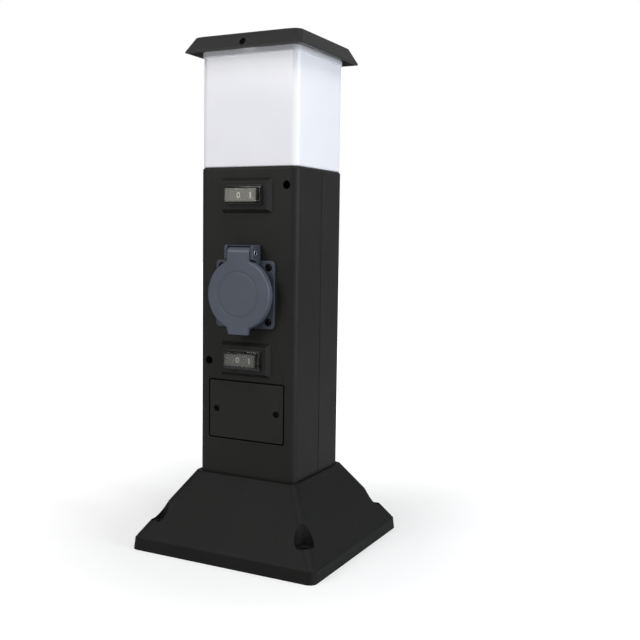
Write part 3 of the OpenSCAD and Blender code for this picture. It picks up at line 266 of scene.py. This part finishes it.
# The plinth's is painted a shade deeper than the column's, as shade on its upturned slopes
plinth_abs_painted_shade = spark_eroded_plastic("abs_charcoal_plinth_painted_shade", "#141413", "#181817", 0.54, 0.16)
# The roof's mould is less worn, so its face is a little glossier, and its colour is painted a shade paler, as
# light on its slopes
roof_abs_painted_paler = spark_eroded_plastic("abs_charcoal_roof_painted_paler", "#1e1e1d", "#232322", 0.42, 0.4,
                                grain_depth_mm=0.04)
lid_polyamide = spark_eroded_plastic("polyamide_blue_grey_moulded", "#4a4f5b", "#515662", 0.4, 0.42,
                                     grain_mm=0.5, grain_depth_mm=0.03)
# The flange round the lid is painted a shade deeper than the lid, as the shade that the lid casts on it
flange_polyamide_painted_shade = spark_eroded_plastic("polyamide_blue_grey_painted_shade", "#393d47", "#3f434d", 0.42, 0.4,
                                        grain_mm=0.5, grain_depth_mm=0.03)
insert_plastic = plain_plastic("polyamide_dark_moulded", "#2b2e36", "#353841", 0.4, 6)
black_plastic = plain_plastic("polyamide_black_moulded", "#101010", "#191919", 0.35, 6)
pale_plastic = plain_plastic("urea_white_moulded", "#d6d1c0", "#e2decf", 0.4, 10)
black_rubber = plain_plastic("epdm_rubber_moulded", "#0d0d0d", "#161616", 0.7, 4)
opal = opal_acrylic()
boot_pvc = clear_pvc("soft_pvc_moulded_frosted_front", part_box("upper_boot")[0].y, "#ebe9e0", 0.82)
# The lower boot's front is greyer and clearer than the upper's, so it looks darker
clearer_boot_pvc = clear_pvc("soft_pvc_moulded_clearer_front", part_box("lower_boot")[0].y, "#c9c8c2", 0.95)
mark_ink = plain_plastic("pad_printed_white_ink", "#e8e8e2", "#f4f4ee", 0.5, 2)
zinc_steel = worked_metal("steel_zinc_plated", "#9a9ca0", "#c4c6ca", 0.35, 0.6)
dark_steel = worked_metal("steel_black_zinc_plated", "#121213", "#1c1c1e", 0.5, 0.6)
brass = worked_metal("brass_pressed", "#a8842f", "#cfae58", 0.3, 0.8)
glass = coated_glass()
brown_wire = plain_plastic("pvc_insulation_brown", "#4b2815", "#5e3520", 0.35, 5)
blue_wire = plain_plastic("pvc_insulation_blue", "#1c4fa0", "#2a62b8", 0.35, 5)
green_wire = plain_plastic("pvc_insulation_green", "#4f7d22", "#5f9130", 0.35, 5)

SLOT_MATERIALS = {
    "charcoal": shell_abs,
    "blue_grey": lid_polyamide,
    "dark_plastic": black_plastic,
    "insert_plastic": insert_plastic,
    "opal": opal,
    "boot_pvc": boot_pvc,
    "pale_plastic": pale_plastic,
    "rubber": black_rubber,
    "steel": zinc_steel,
    "brass": brass,
    "glass": glass,
    "brown_wire": brown_wire,
    "blue_wire": blue_wire,
    "green_wire": green_wire,
}

# Every construction node gets its finish, also where no other piece stands for it
for node_name, node_object in nodes.items():
    node_object.data.materials.clear()
    node_object.data.materials.append(SLOT_MATERIALS[node_slots[node_name]])

# The pin is blackened, and the lamp plate, whose edge lies behind the column's seam, is painted black as
# shade, so that the seam reads dark
nodes["lid_hinge_pin"].data.materials[0] = dark_steel
nodes["lamp_plate"].data.materials[0] = black_plastic

# Meshes and pieces

JOIN_DIST = 0.004 * MM
FLAT_ANGLE = math.radians(0.4)
FLAT_FACE_WEIGHT = 90


def held(name, mesh):
    """A new object in the scene that holds a mesh."""
    holder = bpy.data.objects.new(name, mesh)
    bpy.context.collection.objects.link(holder)
    return holder


def as_shown(holder):
    """The mesh that an object's modifiers make. The object itself goes."""
    shown = holder.evaluated_get(bpy.context.evaluated_depsgraph_get())
    mesh = bpy.data.meshes.new_from_object(shown)
    bpy.data.objects.remove(holder)
    return mesh


def plain_mesh(name, bm):
    """A plain mesh of an editing mesh, which is then freed."""
    mesh = bpy.data.meshes.new(name)
    bm.to_mesh(mesh)
    bm.free()
    return mesh


def put_in(name, mesh, material, body, node=None):
    """Puts a finished mesh in the scene on a body, in place of a construction node if one is named."""
    piece = held(name, mesh)
    mesh.materials.clear()
    mesh.materials.append(material)
    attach(piece, body)
    if node:
        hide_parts(node)


def stand_in(name, mesh, material, node):
    """Puts a finished mesh in the place of a construction node."""
    put_in(name, mesh, material, node_bodies[node], node)


def shade_by_angle(bm, sharp_angle):
    """Smooth faces, with a sharp edge where two faces turn by more than an angle."""
    bm.normal_update()
    for face in bm.faces:
        face.smooth = True
    for edge in bm.edges:
        edge.smooth = edge.calc_face_angle(0.0) < math.radians(sharp_angle)


def weighted_normals(mesh):
    """Shading that keeps the large flat faces flat."""
    holder = held("shading", mesh)
    shading = holder.modifiers.new("shading", "WEIGHTED_NORMAL")
    shading.keep_sharp = True
    shading.weight = FLAT_FACE_WEIGHT
    return as_shown(holder)


def merged_copy(node):
    """A construction node's mesh with its loose triangles joined into flat faces."""
    bm = bmesh.new()
    bm.from_mesh(nodes[node].data)
    bmesh.ops.remove_doubles(bm, verts=bm.verts, dist=JOIN_DIST)
    bmesh.ops.dissolve_limit(bm, angle_limit=FLAT_ANGLE, verts=bm.verts, edges=bm.edges, delimit={"SHARP"})
    return bm


def islands(node):
    """The boxes of a construction node's separate solids, from left to right."""
    bm = merged_copy(node)
    left = set(bm.verts)
    boxes = []
    while left:
        reached = [left.pop()]
        group = []
        while reached:
            vert = reached.pop()
            group.append(vert.co)
            near = {edge.other_vert(vert) for edge in vert.link_edges} & left
            left -= near
            reached += near
        low = Vector([min(co[axis] for co in group) for axis in range(3)])
        high = Vector([max(co[axis] for co in group) for axis in range(3)])
        boxes.append((low, high))
    bm.free()
    return sorted(boxes, key=lambda box: tuple(box[0]))


def box_mesh(name, low, high):
    """A plain box between two corners."""
    middle = (low + high) / 2
    bm = bmesh.new()
    bmesh.ops.create_cube(bm, matrix=Matrix.Translation(middle) @ Matrix.Diagonal((*(high - low), 1)))
    return plain_mesh(name, bm)


def slotted(mesh, low, high):
    """A mesh with a box cut out of it."""
    holder = held("slotted", mesh)
    cutter = held("cutter", box_mesh("cutter", low, high))
    cut = holder.modifiers.new("slot", "BOOLEAN")
    cut.object = cutter
    result = as_shown(holder)
    bpy.data.objects.remove(cutter)
    return result


# Rounded mould edges

SHARP_ANGLE = 33
NARROW_ANGLE = math.radians(25)
RIM_STEPS = 5
RIM_CUT_DIST = 0.001 * MM


def narrow_meeting(edge, kept):
    """Whether an edge ends beside an unrounded one at a narrow angle, where a rounding would run wild."""
    for vert in edge.verts:
        along = edge.other_vert(vert).co - vert.co
        for other in vert.link_edges:
            if other is not edge and other not in kept:
                if along.angle(other.other_vert(vert).co - vert.co, 0.0) < NARROW_ANGLE:
                    return True
    return False


def round_edges(bm, width_mm, segments, least_angle, where, convex=True):
    """Rounds the edges that turn by more than an angle and whose middles a test picks out."""
    edges = {
        edge for edge in bm.edges
        if len(edge.link_faces) == 2
        and edge.is_convex == convex
        and edge.calc_face_angle(0.0) > math.radians(least_angle)
        and where((edge.verts[0].co + edge.verts[1].co) / 2)
    }
    while True:
        narrow = {edge for edge in edges if narrow_meeting(edge, edges)}
        if not narrow:
            break
        edges -= narrow
    bm.edges.index_update()
    bmesh.ops.bevel(bm, geom=sorted(edges, key=lambda edge: edge.index), offset=width_mm * MM,
                    offset_type="OFFSET", segments=segments, profile=0.5, affect="EDGES",
                    clamp_overlap=False, loop_slide=False)


def roll_rim(bm, half_x, half_y, corner_r, rim_z, upwards, radius):
    """Rolls a rounded box in towards a rim: cuts near it, then draws in what stands out of the curve."""
    for step in range(RIM_STEPS):
        below = radius * (1 - math.sin(math.radians(90 * step / RIM_STEPS)))
        bmesh.ops.bisect_plane(bm, geom=bm.verts[:] + bm.edges[:] + bm.faces[:], dist=RIM_CUT_DIST,
                               plane_co=(0, 0, rim_z - upwards * below), plane_no=(0, 0, 1))
    core_x = half_x - corner_r
    core_y = half_y - corner_r
    for vert in bm.verts:
        below = max(upwards * (rim_z - vert.co.z), 0.0)
        if below < radius:
            inset = radius - math.sqrt(radius ** 2 - (radius - below) ** 2)
            middle = Vector((min(max(vert.co.x, -core_x), core_x), min(max(vert.co.y, -core_y), core_y)))
            out = vert.co.xy - middle
            if out.length > corner_r - inset:
                vert.co.xy = middle + out.normalized() * (corner_r - inset)


def rounded_piece(node, material, passes, rim=None, slot=None):
    """A copy of a construction node that stands for it, with rounded edges, a rolled rim or a slot."""
    bm = merged_copy(node)
    for settings in passes:
        round_edges(bm, *settings)
    if rim:
        roll_rim(bm, *rim)
    shade_by_angle(bm, SHARP_ANGLE)
    mesh = plain_mesh(node + "_rounded", bm)
    if slot:
        mesh = slotted(mesh, *slot)
    stand_in(node + "_rounded", weighted_normals(mesh), material, node)


NEAR = 0.15 * MM
SKIRT_TOP = 8.8 * MM
SKIRT_CLEAR = 1 * MM
SCREW_HOLE_CLEAR = 5 * MM
COLUMN_CORNER_R = 6 * MM
COLUMN_RIM_R = 1.9 * MM
COLUMN_RIM_CLEAR = 2 * MM
DIFFUSER_IN = 0.8 * MM
DIFFUSER_RIM_R = 1.2 * MM
ROOF_FOOT_W = 1.2 * MM
ROOF_TOP_H = 4 * MM
FLANGE_BACK_CLEAR = 2 * MM
BOOT_FRONT_CLEAR = 2 * MM
column_low, column_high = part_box("rear_shell")
# The column is as deep to the front as to the back
front_face = -column_high.y
panel_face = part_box("access_panel")[0].y
diffuser_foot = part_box("diffuser")[0].z
roof_low, roof_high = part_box("roof_cap")
flange_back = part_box("socket_flange")[1].y
shell_screw_places = [(low + high) / 2 for low, high in islands("shell_screws")]

# The lid's spring and the slot for its back leg
SPRING_PITCH = 1.25 * MM
SPRING_TURNS = 4.25
SLOT_W = 1.2 * MM
SLOT_FROM = 1.3 * MM
SLOT_REACH = 6 * MM
pin_low, pin_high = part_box("lid_hinge_pin")
pin_middle = (pin_low + pin_high) / 2
spring_leg_at = pin_middle - Vector((SPRING_PITCH * SPRING_TURNS / 2, 0, 0))


def anywhere(point):
    """All edges."""
    return True


def on_skirt(point):
    """On the top of the plinth's skirt."""
    return abs(point.z - SKIRT_TOP) < 2 * NEAR


def on_plinth(point):
    """On the slopes and the rim of the plinth."""
    return point.z > SKIRT_TOP + SKIRT_CLEAR


def on_shell(point):
    """On the outside of the column, below its rim and away from its screw holes."""
    if point.z >= column_high.z - COLUMN_RIM_CLEAR:
        return False
    if any((point - place).xz.length < SCREW_HOLE_CLEAR for place in shell_screw_places):
        return False
    at_side = abs(point.x) > column_high.x - NEAR
    return at_side or point.y < front_face + NEAR or point.y > column_high.y - NEAR


def on_roof(point):
    """On the roof's top edge and the outer edge of its foot."""
    outside = abs(point.x) > roof_high.x - ROOF_FOOT_W or abs(point.y) > roof_high.y - ROOF_FOOT_W
    return point.z > roof_high.z - ROOF_TOP_H or (outside and point.z < roof_low.z + NEAR)


# A rounding holds its width in mm, its segments, the least angle of its edges, where they lie,
# and whether they are convex. A rim holds the half sizes and the corner radius of its box, its height,
# which way it faces and its own radius.
rounded_piece("base_plinth", plinth_abs_painted_shade, [(2.2, 3, 20, on_skirt), (0.6, 3, 35, on_plinth)])
for node, material in (("front_shell", shell_abs), ("rear_shell", rear_abs_painted_paler)):
    rounded_piece(node, material, [(0.4, 3, 33, on_shell)],
                  rim=(column_high.x, column_high.y, COLUMN_CORNER_R, column_high.z, 1, COLUMN_RIM_R))
rounded_piece("access_panel", rear_abs_painted_paler, [(0.35, 3, 35, lambda point: point.y < panel_face + NEAR)])
rounded_piece("roof_cap", roof_abs_painted_paler, [(0.5, 3, 25, on_roof)])
rounded_piece("diffuser", opal, [],
              rim=(column_high.x - DIFFUSER_IN, column_high.y - DIFFUSER_IN, COLUMN_CORNER_R - DIFFUSER_IN,
                   diffuser_foot, -1, DIFFUSER_RIM_R))
rounded_piece("socket_flange", flange_polyamide_painted_shade,
              [(0.4, 3, 35, lambda point: point.y < flange_back - FLANGE_BACK_CLEAR)])
# The lid's knuckle has a slot at its back for the spring's back leg, which stays on the flange
rounded_piece("socket_lid", lid_polyamide, [(0.4, 3, 33, anywhere)],
              slot=(spring_leg_at + Vector((-SLOT_W / 2, SLOT_FROM, 0)),
                    spring_leg_at + Vector((SLOT_W / 2, SLOT_REACH, SLOT_REACH))))
rounded_piece("socket_insert", insert_plastic, [(0.3, 2, 35, anywhere)])
for level, pvc in (("upper", boot_pvc), ("lower", clearer_boot_pvc)):
    boot_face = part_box(level + "_boot")[0].y
    rounded_piece(level + "_switch_body", black_plastic, [(0.25, 2, 35, anywhere)])
    rounded_piece(level + "_boot", pvc, [
        (0.6, 3, 30, lambda point: point.y < boot_face + NEAR),
        (0.8, 4, 30, lambda point: point.y > boot_face + BOOT_FRONT_CLEAR, False),
    ])
    rounded_piece(level + "_rocker", black_plastic, [(0.4, 2, 30, anywhere)])

# Dark blocks in the tops of the column's seams, beside the lamp plate, put in as painted shade where the
# seams would let light through
STRIP_T = 0.66 * MM
STRIP_DEEP = 1.4 * MM
STRIP_IN = 1.0 * MM
STRIP_BELOW_RIM = 2 * MM
STRIP_BELOW_PLATE = 6 * MM
strip_low_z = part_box("lamp_plate")[0].z - STRIP_BELOW_PLATE
strip_high_z = column_high.z - STRIP_BELOW_RIM
strip_half = Vector((STRIP_DEEP, STRIP_T, strip_high_z - strip_low_z)) / 2
for side, towards in (("left", -1), ("right", 1)):
    # The rear shell starts in the middle of the seam
    strip_middle = Vector((towards * (column_high.x - STRIP_IN - strip_half.x), column_low.y,
                           strip_low_z + strip_half.z))
    strip = box_mesh(side + "_seam_shade_block", strip_middle - strip_half, strip_middle + strip_half)
    put_in(side + "_seam_shade_block", strip, black_rubber, node_bodies["rear_shell"])

# Screws, spring and pin ends, by Geometry Nodes


def new_geometry_tree(name, sizes):
    """A Geometry Nodes tree with named sizes and a material as its inputs."""
    tree = bpy.data.node_groups.new(name, "GeometryNodeTree")
    tree.interface.new_socket("Geometry", in_out="INPUT", socket_type="NodeSocketGeometry")
    for size in sizes:
        tree.interface.new_socket(size, in_out="INPUT", socket_type="NodeSocketFloat")
    tree.interface.new_socket("Material", in_out="INPUT", socket_type="NodeSocketMaterial")
    tree.interface.new_socket("Geometry", in_out="OUTPUT", socket_type="NodeSocketGeometry")
    return tree, add(tree, "NodeGroupInput").outputs


def finish_geometry(tree, geometry, given):
    """Makes a geometry, as plain faces with the given material, the tree's result."""
    whole = add(tree, "GeometryNodeRealizeInstances", {"Geometry": geometry})
    coloured = add(tree, "GeometryNodeSetMaterial",
                   {"Geometry": whole.outputs["Geometry"], "Material": given["Material"]})
    add(tree, "NodeGroupOutput", {"Geometry": coloured.outputs["Geometry"]})


def vector(tree, **parts):
    """A vector of the parts X, Y and Z."""
    return add(tree, "ShaderNodeCombineXYZ", parts).outputs[0]


def raised_by(tree, geometry, height):
    """A geometry moved along Z."""
    moved = add(tree, "GeometryNodeTransform", {"Geometry": geometry, "Translation": vector(tree, Z=height)})
    return moved.outputs["Geometry"]


# Shares of a screw head's height and radius
HEAD_SIDE = 0.55
DOME_TOP = 0.72
CROSS_LENGTH = 1.3
CROSS_WIDTH = 0.26
CROSS_DEPTH = 0.55


def screw_tree():
    """Cross-head screws at the points of a mesh, each with its head along its point's direction."""
    tree, given = new_geometry_tree("cross_head_screws", [
        "Head Radius", "Head Height", "Shank Radius", "Shank Length",
        "Cross Length", "Cross Width", "Cross Depth",
    ])
    side = maths(tree, "MULTIPLY", given["Head Height"], HEAD_SIDE)
    dome = maths(tree, "MULTIPLY", given["Head Height"], 1 - HEAD_SIDE)
    drum = add(tree, "GeometryNodeMeshCylinder",
               {"Vertices": 32, "Radius": given["Head Radius"], "Depth": side})
    raised = add(tree, "GeometryNodeExtrudeMesh",
                 {"Mesh": drum.outputs["Mesh"], "Selection": drum.outputs["Top"], "Offset Scale": dome,
                  "Individual": False}, mode="FACES")
    pan = add(tree, "GeometryNodeScaleElements",
              {"Geometry": raised.outputs["Mesh"], "Selection": raised.outputs["Top"], "Scale": DOME_TOP})
    # The head's top lies on the point, and the head and the shank hang below it
    head_z = maths(tree, "SUBTRACT", maths(tree, "MULTIPLY", side, -0.5), dome)
    head = raised_by(tree, pan.outputs["Geometry"], head_z)
    length = given["Cross Length"]
    width = given["Cross Width"]
    twice_depth = maths(tree, "MULTIPLY", given["Cross Depth"], 2.0)
    arm_sizes = [
        vector(tree, X=length, Y=width, Z=twice_depth),
        vector(tree, X=width, Y=length, Z=twice_depth),
    ]
    arms = [add(tree, "GeometryNodeMeshCube", {"Size": size}).outputs["Mesh"] for size in arm_sizes]
    driven = add(tree, "GeometryNodeMeshBoolean", {"Mesh 1": head, "Mesh 2": arms},
                 operation="DIFFERENCE", solver="EXACT").outputs["Mesh"]
    half_shank = maths(tree, "MULTIPLY", given["Shank Length"], 0.5)
    reach = maths(tree, "ADD", half_shank, given["Head Height"])
    rod = add(tree, "GeometryNodeMeshCylinder",
              {"Vertices": 24, "Radius": given["Shank Radius"], "Depth": given["Shank Length"]})
    shank = raised_by(tree, rod.outputs["Mesh"], maths(tree, "MULTIPLY", reach, -1.0))
    screw = add(tree, "GeometryNodeJoinGeometry", {"Geometry": [driven, shank]}).outputs["Geometry"]
    out = add(tree, "GeometryNodeInputNamedAttribute", {"Name": "out"}, data_type="FLOAT_VECTOR")
    turn = add(tree, "FunctionNodeAlignRotationToVector", {"Vector": out.outputs["Attribute"]}, axis="Z")
    placed = add(tree, "GeometryNodeInstanceOnPoints",
                 {"Points": given["Geometry"], "Instance": screw, "Rotation": turn.outputs["Rotation"]})
    finish_geometry(tree, placed.outputs["Instances"], given)
    return tree


def wire_tree():
    """A round wire along the edges of a mesh."""
    tree, given = new_geometry_tree("round_wire", ["Wire Radius"])
    path = add(tree, "GeometryNodeMeshToCurve", {"Mesh": given["Geometry"]}).outputs["Curve"]
    ring = add(tree, "GeometryNodeCurvePrimitiveCircle",
               {"Resolution": 12, "Radius": given["Wire Radius"]}).outputs["Curve"]
    wire = add(tree, "GeometryNodeCurveToMesh", {"Curve": path, "Profile Curve": ring, "Fill Caps": True})
    finish_geometry(tree, wire.outputs["Mesh"], given)
    return tree


def grown_mesh(start, tree, values, sharp_angle):
    """What a Geometry Nodes tree makes of a mesh, as a plain mesh shaded by its angles."""
    holder = held(tree.name, start)
    growth = holder.modifiers.new(tree.name, "NODES")
    growth.node_group = tree
    for item in tree.interface.items_tree:
        if item.in_out == "INPUT" and item.name in values:
            growth[item.identifier] = values[item.name]
    mesh = as_shown(holder)
    bm = bmesh.new()
    bm.from_mesh(mesh)
    shade_by_angle(bm, sharp_angle)
    bm.to_mesh(mesh)
    bm.free()
    return mesh


SCREW_SHARP_ANGLE = 30
# Head height and shank radius of the screws that show, all of them across the front or the back
SCREWS_MM = {
    "shell_screws": (1.8, 1.35),
    "panel_screws": (0.9, 1.15),
    "flange_screws": (1.4, 1.35),
    "roof_screws": (1.2, 1.25),
}
screws = screw_tree()
for node, (head_h, shank_r) in SCREWS_MM.items():
    boxes = islands(node)
    tops = []
    directions = []
    for low, high in boxes:
        towards = -1 if low.y < 0 else 1
        tops.append(((low.x + high.x) / 2, low.y if towards < 0 else high.y, (low.z + high.z) / 2))
        directions += (0, towards, 0)
    low, high = boxes[0]
    head_r = (high.x - low.x) / 2
    points = bpy.data.meshes.new(node + "_places")
    points.from_pydata(tops, [], [])
    points.attributes.new("out", "FLOAT_VECTOR", "POINT").data.foreach_set("vector", directions)
    mesh = grown_mesh(points, screws, {
        "Head Radius": head_r,
        "Head Height": head_h * MM,
        "Shank Radius": shank_r * MM,
        "Shank Length": high.y - low.y - head_h * MM,
        "Cross Length": CROSS_LENGTH * head_r,
        "Cross Width": CROSS_WIDTH * head_r,
        "Cross Depth": CROSS_DEPTH * head_h * MM,
        "Material": dark_steel,
    }, SCREW_SHARP_ANGLE)
    stand_in(node + "_cross_head", mesh, dark_steel, node)

WIRE_SHARP_ANGLE = 50
wires = wire_tree()


def wire_mesh(name, points, closed, wire_r):
    """A round steel wire through a row of points."""
    count = len(points)
    edges = [(i, (i + 1) % count) for i in range(count if closed else count - 1)]
    path = bpy.data.meshes.new(name + "_path")
    path.from_pydata(points, edges, [])
    return grown_mesh(path, wires, {"Wire Radius": wire_r, "Material": zinc_steel}, WIRE_SHARP_ANGLE)


# Torsion spring about the hinge pin: a back leg under the pin, the curls, and a front leg up behind the neck
SPRING_R = 2.35 * MM
SPRING_WIRE_R = 0.35 * MM
SPRING_STEPS = 24
SPRING_BACK_LEG = 5.7 * MM
SPRING_FRONT_LEG = 1.0 * MM
coil = []
for i in range(round(SPRING_TURNS * SPRING_STEPS) + 1):
    turn = i / SPRING_STEPS
    angle = 2 * math.pi * (turn + 0.5)
    across = Vector((SPRING_PITCH * turn, SPRING_R * math.sin(angle), SPRING_R * math.cos(angle)))
    coil.append(spring_leg_at + across)
coil.insert(0, coil[0] + Vector((0, SPRING_BACK_LEG, 0)))
coil.append(coil[-1] + Vector((0, 0, SPRING_FRONT_LEG)))
stand_in("lid_spring_wound", wire_mesh("spring", coil, False, SPRING_WIRE_R), zinc_steel, "lid_spring")

# Rolled ends of the hinge pin, on the outsides of the flange's ears
PIN_END_R = 1.75 * MM
PIN_END_BEAD_R = 0.35 * MM
PIN_END_STEPS = 32
for side, end_x in (("left", pin_low.x), ("right", pin_high.x)):
    around = [2 * math.pi * i / PIN_END_STEPS for i in range(PIN_END_STEPS)]
    ring = [(end_x, pin_middle.y + PIN_END_R * math.cos(turn), pin_middle.z + PIN_END_R * math.sin(turn))
            for turn in around]
    put_in(side + "_pin_end", wire_mesh(side + "_pin_end", ring, True, PIN_END_BEAD_R), zinc_steel,
           node_bodies["lid_hinge_pin"])

# Printed marks on the rockers, a ring and a bar, seen through the boots
MARK_PROUD = 0.12 * MM
MARK_ROOT = 0.06 * MM


def draped_mark(node, name, inner, outer, closed):
    """A thin printed strip between two rows of points (x, z) that lies on a node's front."""
    under = BVHTree.FromPolygons([v.co for v in nodes[node].data.vertices],
                                 [p.vertices for p in nodes[node].data.polygons])
    rows = []
    for row in (inner, outer):
        hits = [under.ray_cast(Vector((x, -1, z)), Vector((0, 1, 0)))[0] for x, z in row]
        rows.append([hit - Vector((0, MARK_PROUD, 0)) for hit in hits])
        rows.append([hit + Vector((0, MARK_ROOT, 0)) for hit in hits])
    bm = bmesh.new()
    top_in, low_in, top_out, low_out = [[bm.verts.new(co) for co in row] for row in rows]
    count = len(inner)
    for i in range(count if closed else count - 1):
        j = (i + 1) % count
        for a, b in ((top_in, top_out), (top_out, low_out), (low_out, low_in), (low_in, top_in)):
            bm.faces.new((a[i], a[j], b[j], b[i]))
    if not closed:
        for i in (0, count - 1):
            bm.faces.new((top_in[i], top_out[i], low_out[i], low_in[i]))
    bmesh.ops.recalc_face_normals(bm, faces=bm.faces)
    put_in(name, plain_mesh(name, bm), mark_ink, node_bodies[node])


RING_AT = -3.2 * MM
RING_INNER = (0.8 * MM, 1.4 * MM)
RING_OUTER = (1.5 * MM, 2.1 * MM)
RING_STEPS = 24
BAR_AT = 8.0 * MM
BAR_HALF_W = 0.45 * MM
BAR_HALF_H = 2.2 * MM
for level in ("upper", "lower"):
    node = level + "_rocker"
    low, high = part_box(level + "_boot")
    mid_z = (low.z + high.z) / 2
    turns = [2 * math.pi * i / RING_STEPS for i in range(RING_STEPS)]
    ring_in, ring_out = [
        [(RING_AT + rx * math.cos(turn), mid_z + rz * math.sin(turn)) for turn in turns]
        for rx, rz in (RING_INNER, RING_OUTER)
    ]
    draped_mark(node, level + "_ring_mark", ring_in, ring_out, True)
    bar_left, bar_right = [
        [(BAR_AT + x, mid_z + z) for z in (-BAR_HALF_H, 0, BAR_HALF_H)] for x in (-BAR_HALF_W, BAR_HALF_W)
    ]
    draped_mark(node, level + "_bar_mark", bar_left, bar_right, False)

# Stage

FLOOR_HALF = 6.0
SHADOW_REACH = 0.12
WHITE_REACH = 0.5
WHITE = (1, 1, 1, 1)
COOL_WHITE = (0.88, 0.94, 1.0)


def seen_directly(tree):
    """One for what the camera sees, also through something clear, and nought for light on the object."""
    path = add(tree, "ShaderNodeLightPath")
    return maths(tree, "MAXIMUM", path.outputs["Is Camera Ray"], path.outputs["Is Transmission Ray"])


def make_floor():
    """A pale floor that keeps the shadow near the object and reads as white further off."""
    material, tree, place = new_material("studio_floor")
    reach = add(tree, "ShaderNodeVectorMath", {0: place}, operation="LENGTH")
    glow = mapped(tree, reach.outputs["Value"], 0.4, 1.0, SHADOW_REACH, WHITE_REACH)
    lit = maths(tree, "MULTIPLY", seen_directly(tree), glow)
    paper = add(tree, "ShaderNodeBsdfDiffuse", {"Color": linear("#d8d8d8")})
    light = add(tree, "ShaderNodeEmission", {"Color": WHITE, "Strength": lit})
    both = add(tree, "ShaderNodeAddShader", {0: paper.outputs[0], 1: light.outputs[0]})
    finish_material(tree, both)
    mesh = bpy.data.meshes.new("studio_floor")
    corners = [(FLOOR_HALF * x, FLOOR_HALF * y, 0) for x, y in ((-1, -1), (1, -1), (1, 1), (-1, 1))]
    mesh.from_pydata(corners, [], [(0, 1, 2, 3)])
    mesh.materials.append(material)
    held("studio_floor", mesh)


def make_world():
    """Soft studio light, paler behind the object than before it, with a white backdrop for the camera."""
    world = bpy.data.worlds.new("studio")
    world.use_nodes = True
    tree = world.node_tree
    tree.nodes.clear()
    direction = add(tree, "ShaderNodeTexCoord").outputs["Generated"]
    behind = add(tree, "ShaderNodeSeparateXYZ", {"Vector": direction}).outputs["Y"]
    light = mapped(tree, behind, 0.24, 0.34, low_from=-0.4, high_from=0.7)
    level = mapped(tree, seen_directly(tree), light, 1.0)
    backdrop = add(tree, "ShaderNodeBackground", {"Color": WHITE, "Strength": level})
    add(tree, "ShaderNodeOutputWorld", {"Surface": backdrop.outputs[0]})
    bpy.context.scene.world = world


def make_lamp(name, place, target, size, watts, colour=(1, 1, 1)):
    """A rectangular soft light that points at a target."""
    data = bpy.data.lights.new(name, "AREA")
    data.color = colour
    data.shape = "RECTANGLE"
    data.size = size[0]
    data.size_y = size[1]
    data.energy = watts
    lamp = bpy.data.objects.new(name, data)
    lamp.location = place
    lamp.rotation_euler = (Vector(target) - Vector(place)).to_track_quat("-Z", "Y").to_euler()
    bpy.context.collection.objects.link(lamp)


make_camera()
make_world()
make_floor()
# Each light has its place, its target, its size and its watts
make_lamp("front_softbox", (-0.7, -1.45, 1.05), (0, 0, 0.2), (0.9, 0.9), 12)
make_lamp("edge_strip", (1.36, -0.15, 0.4), (0, 0, 0.2), (0.1, 1.0), 7, COOL_WHITE)
make_lamp("side_strip", (1.3, 0.32, 0.45), (0, 0, 0.22), (0.15, 1.2), 3, COOL_WHITE)
make_lamp("top_softbox", (0.65, -0.6, 1.3), (0, 0, 0.25), (0.5, 0.5), 7)
bpy.context.scene.view_settings.view_transform = "Standard"
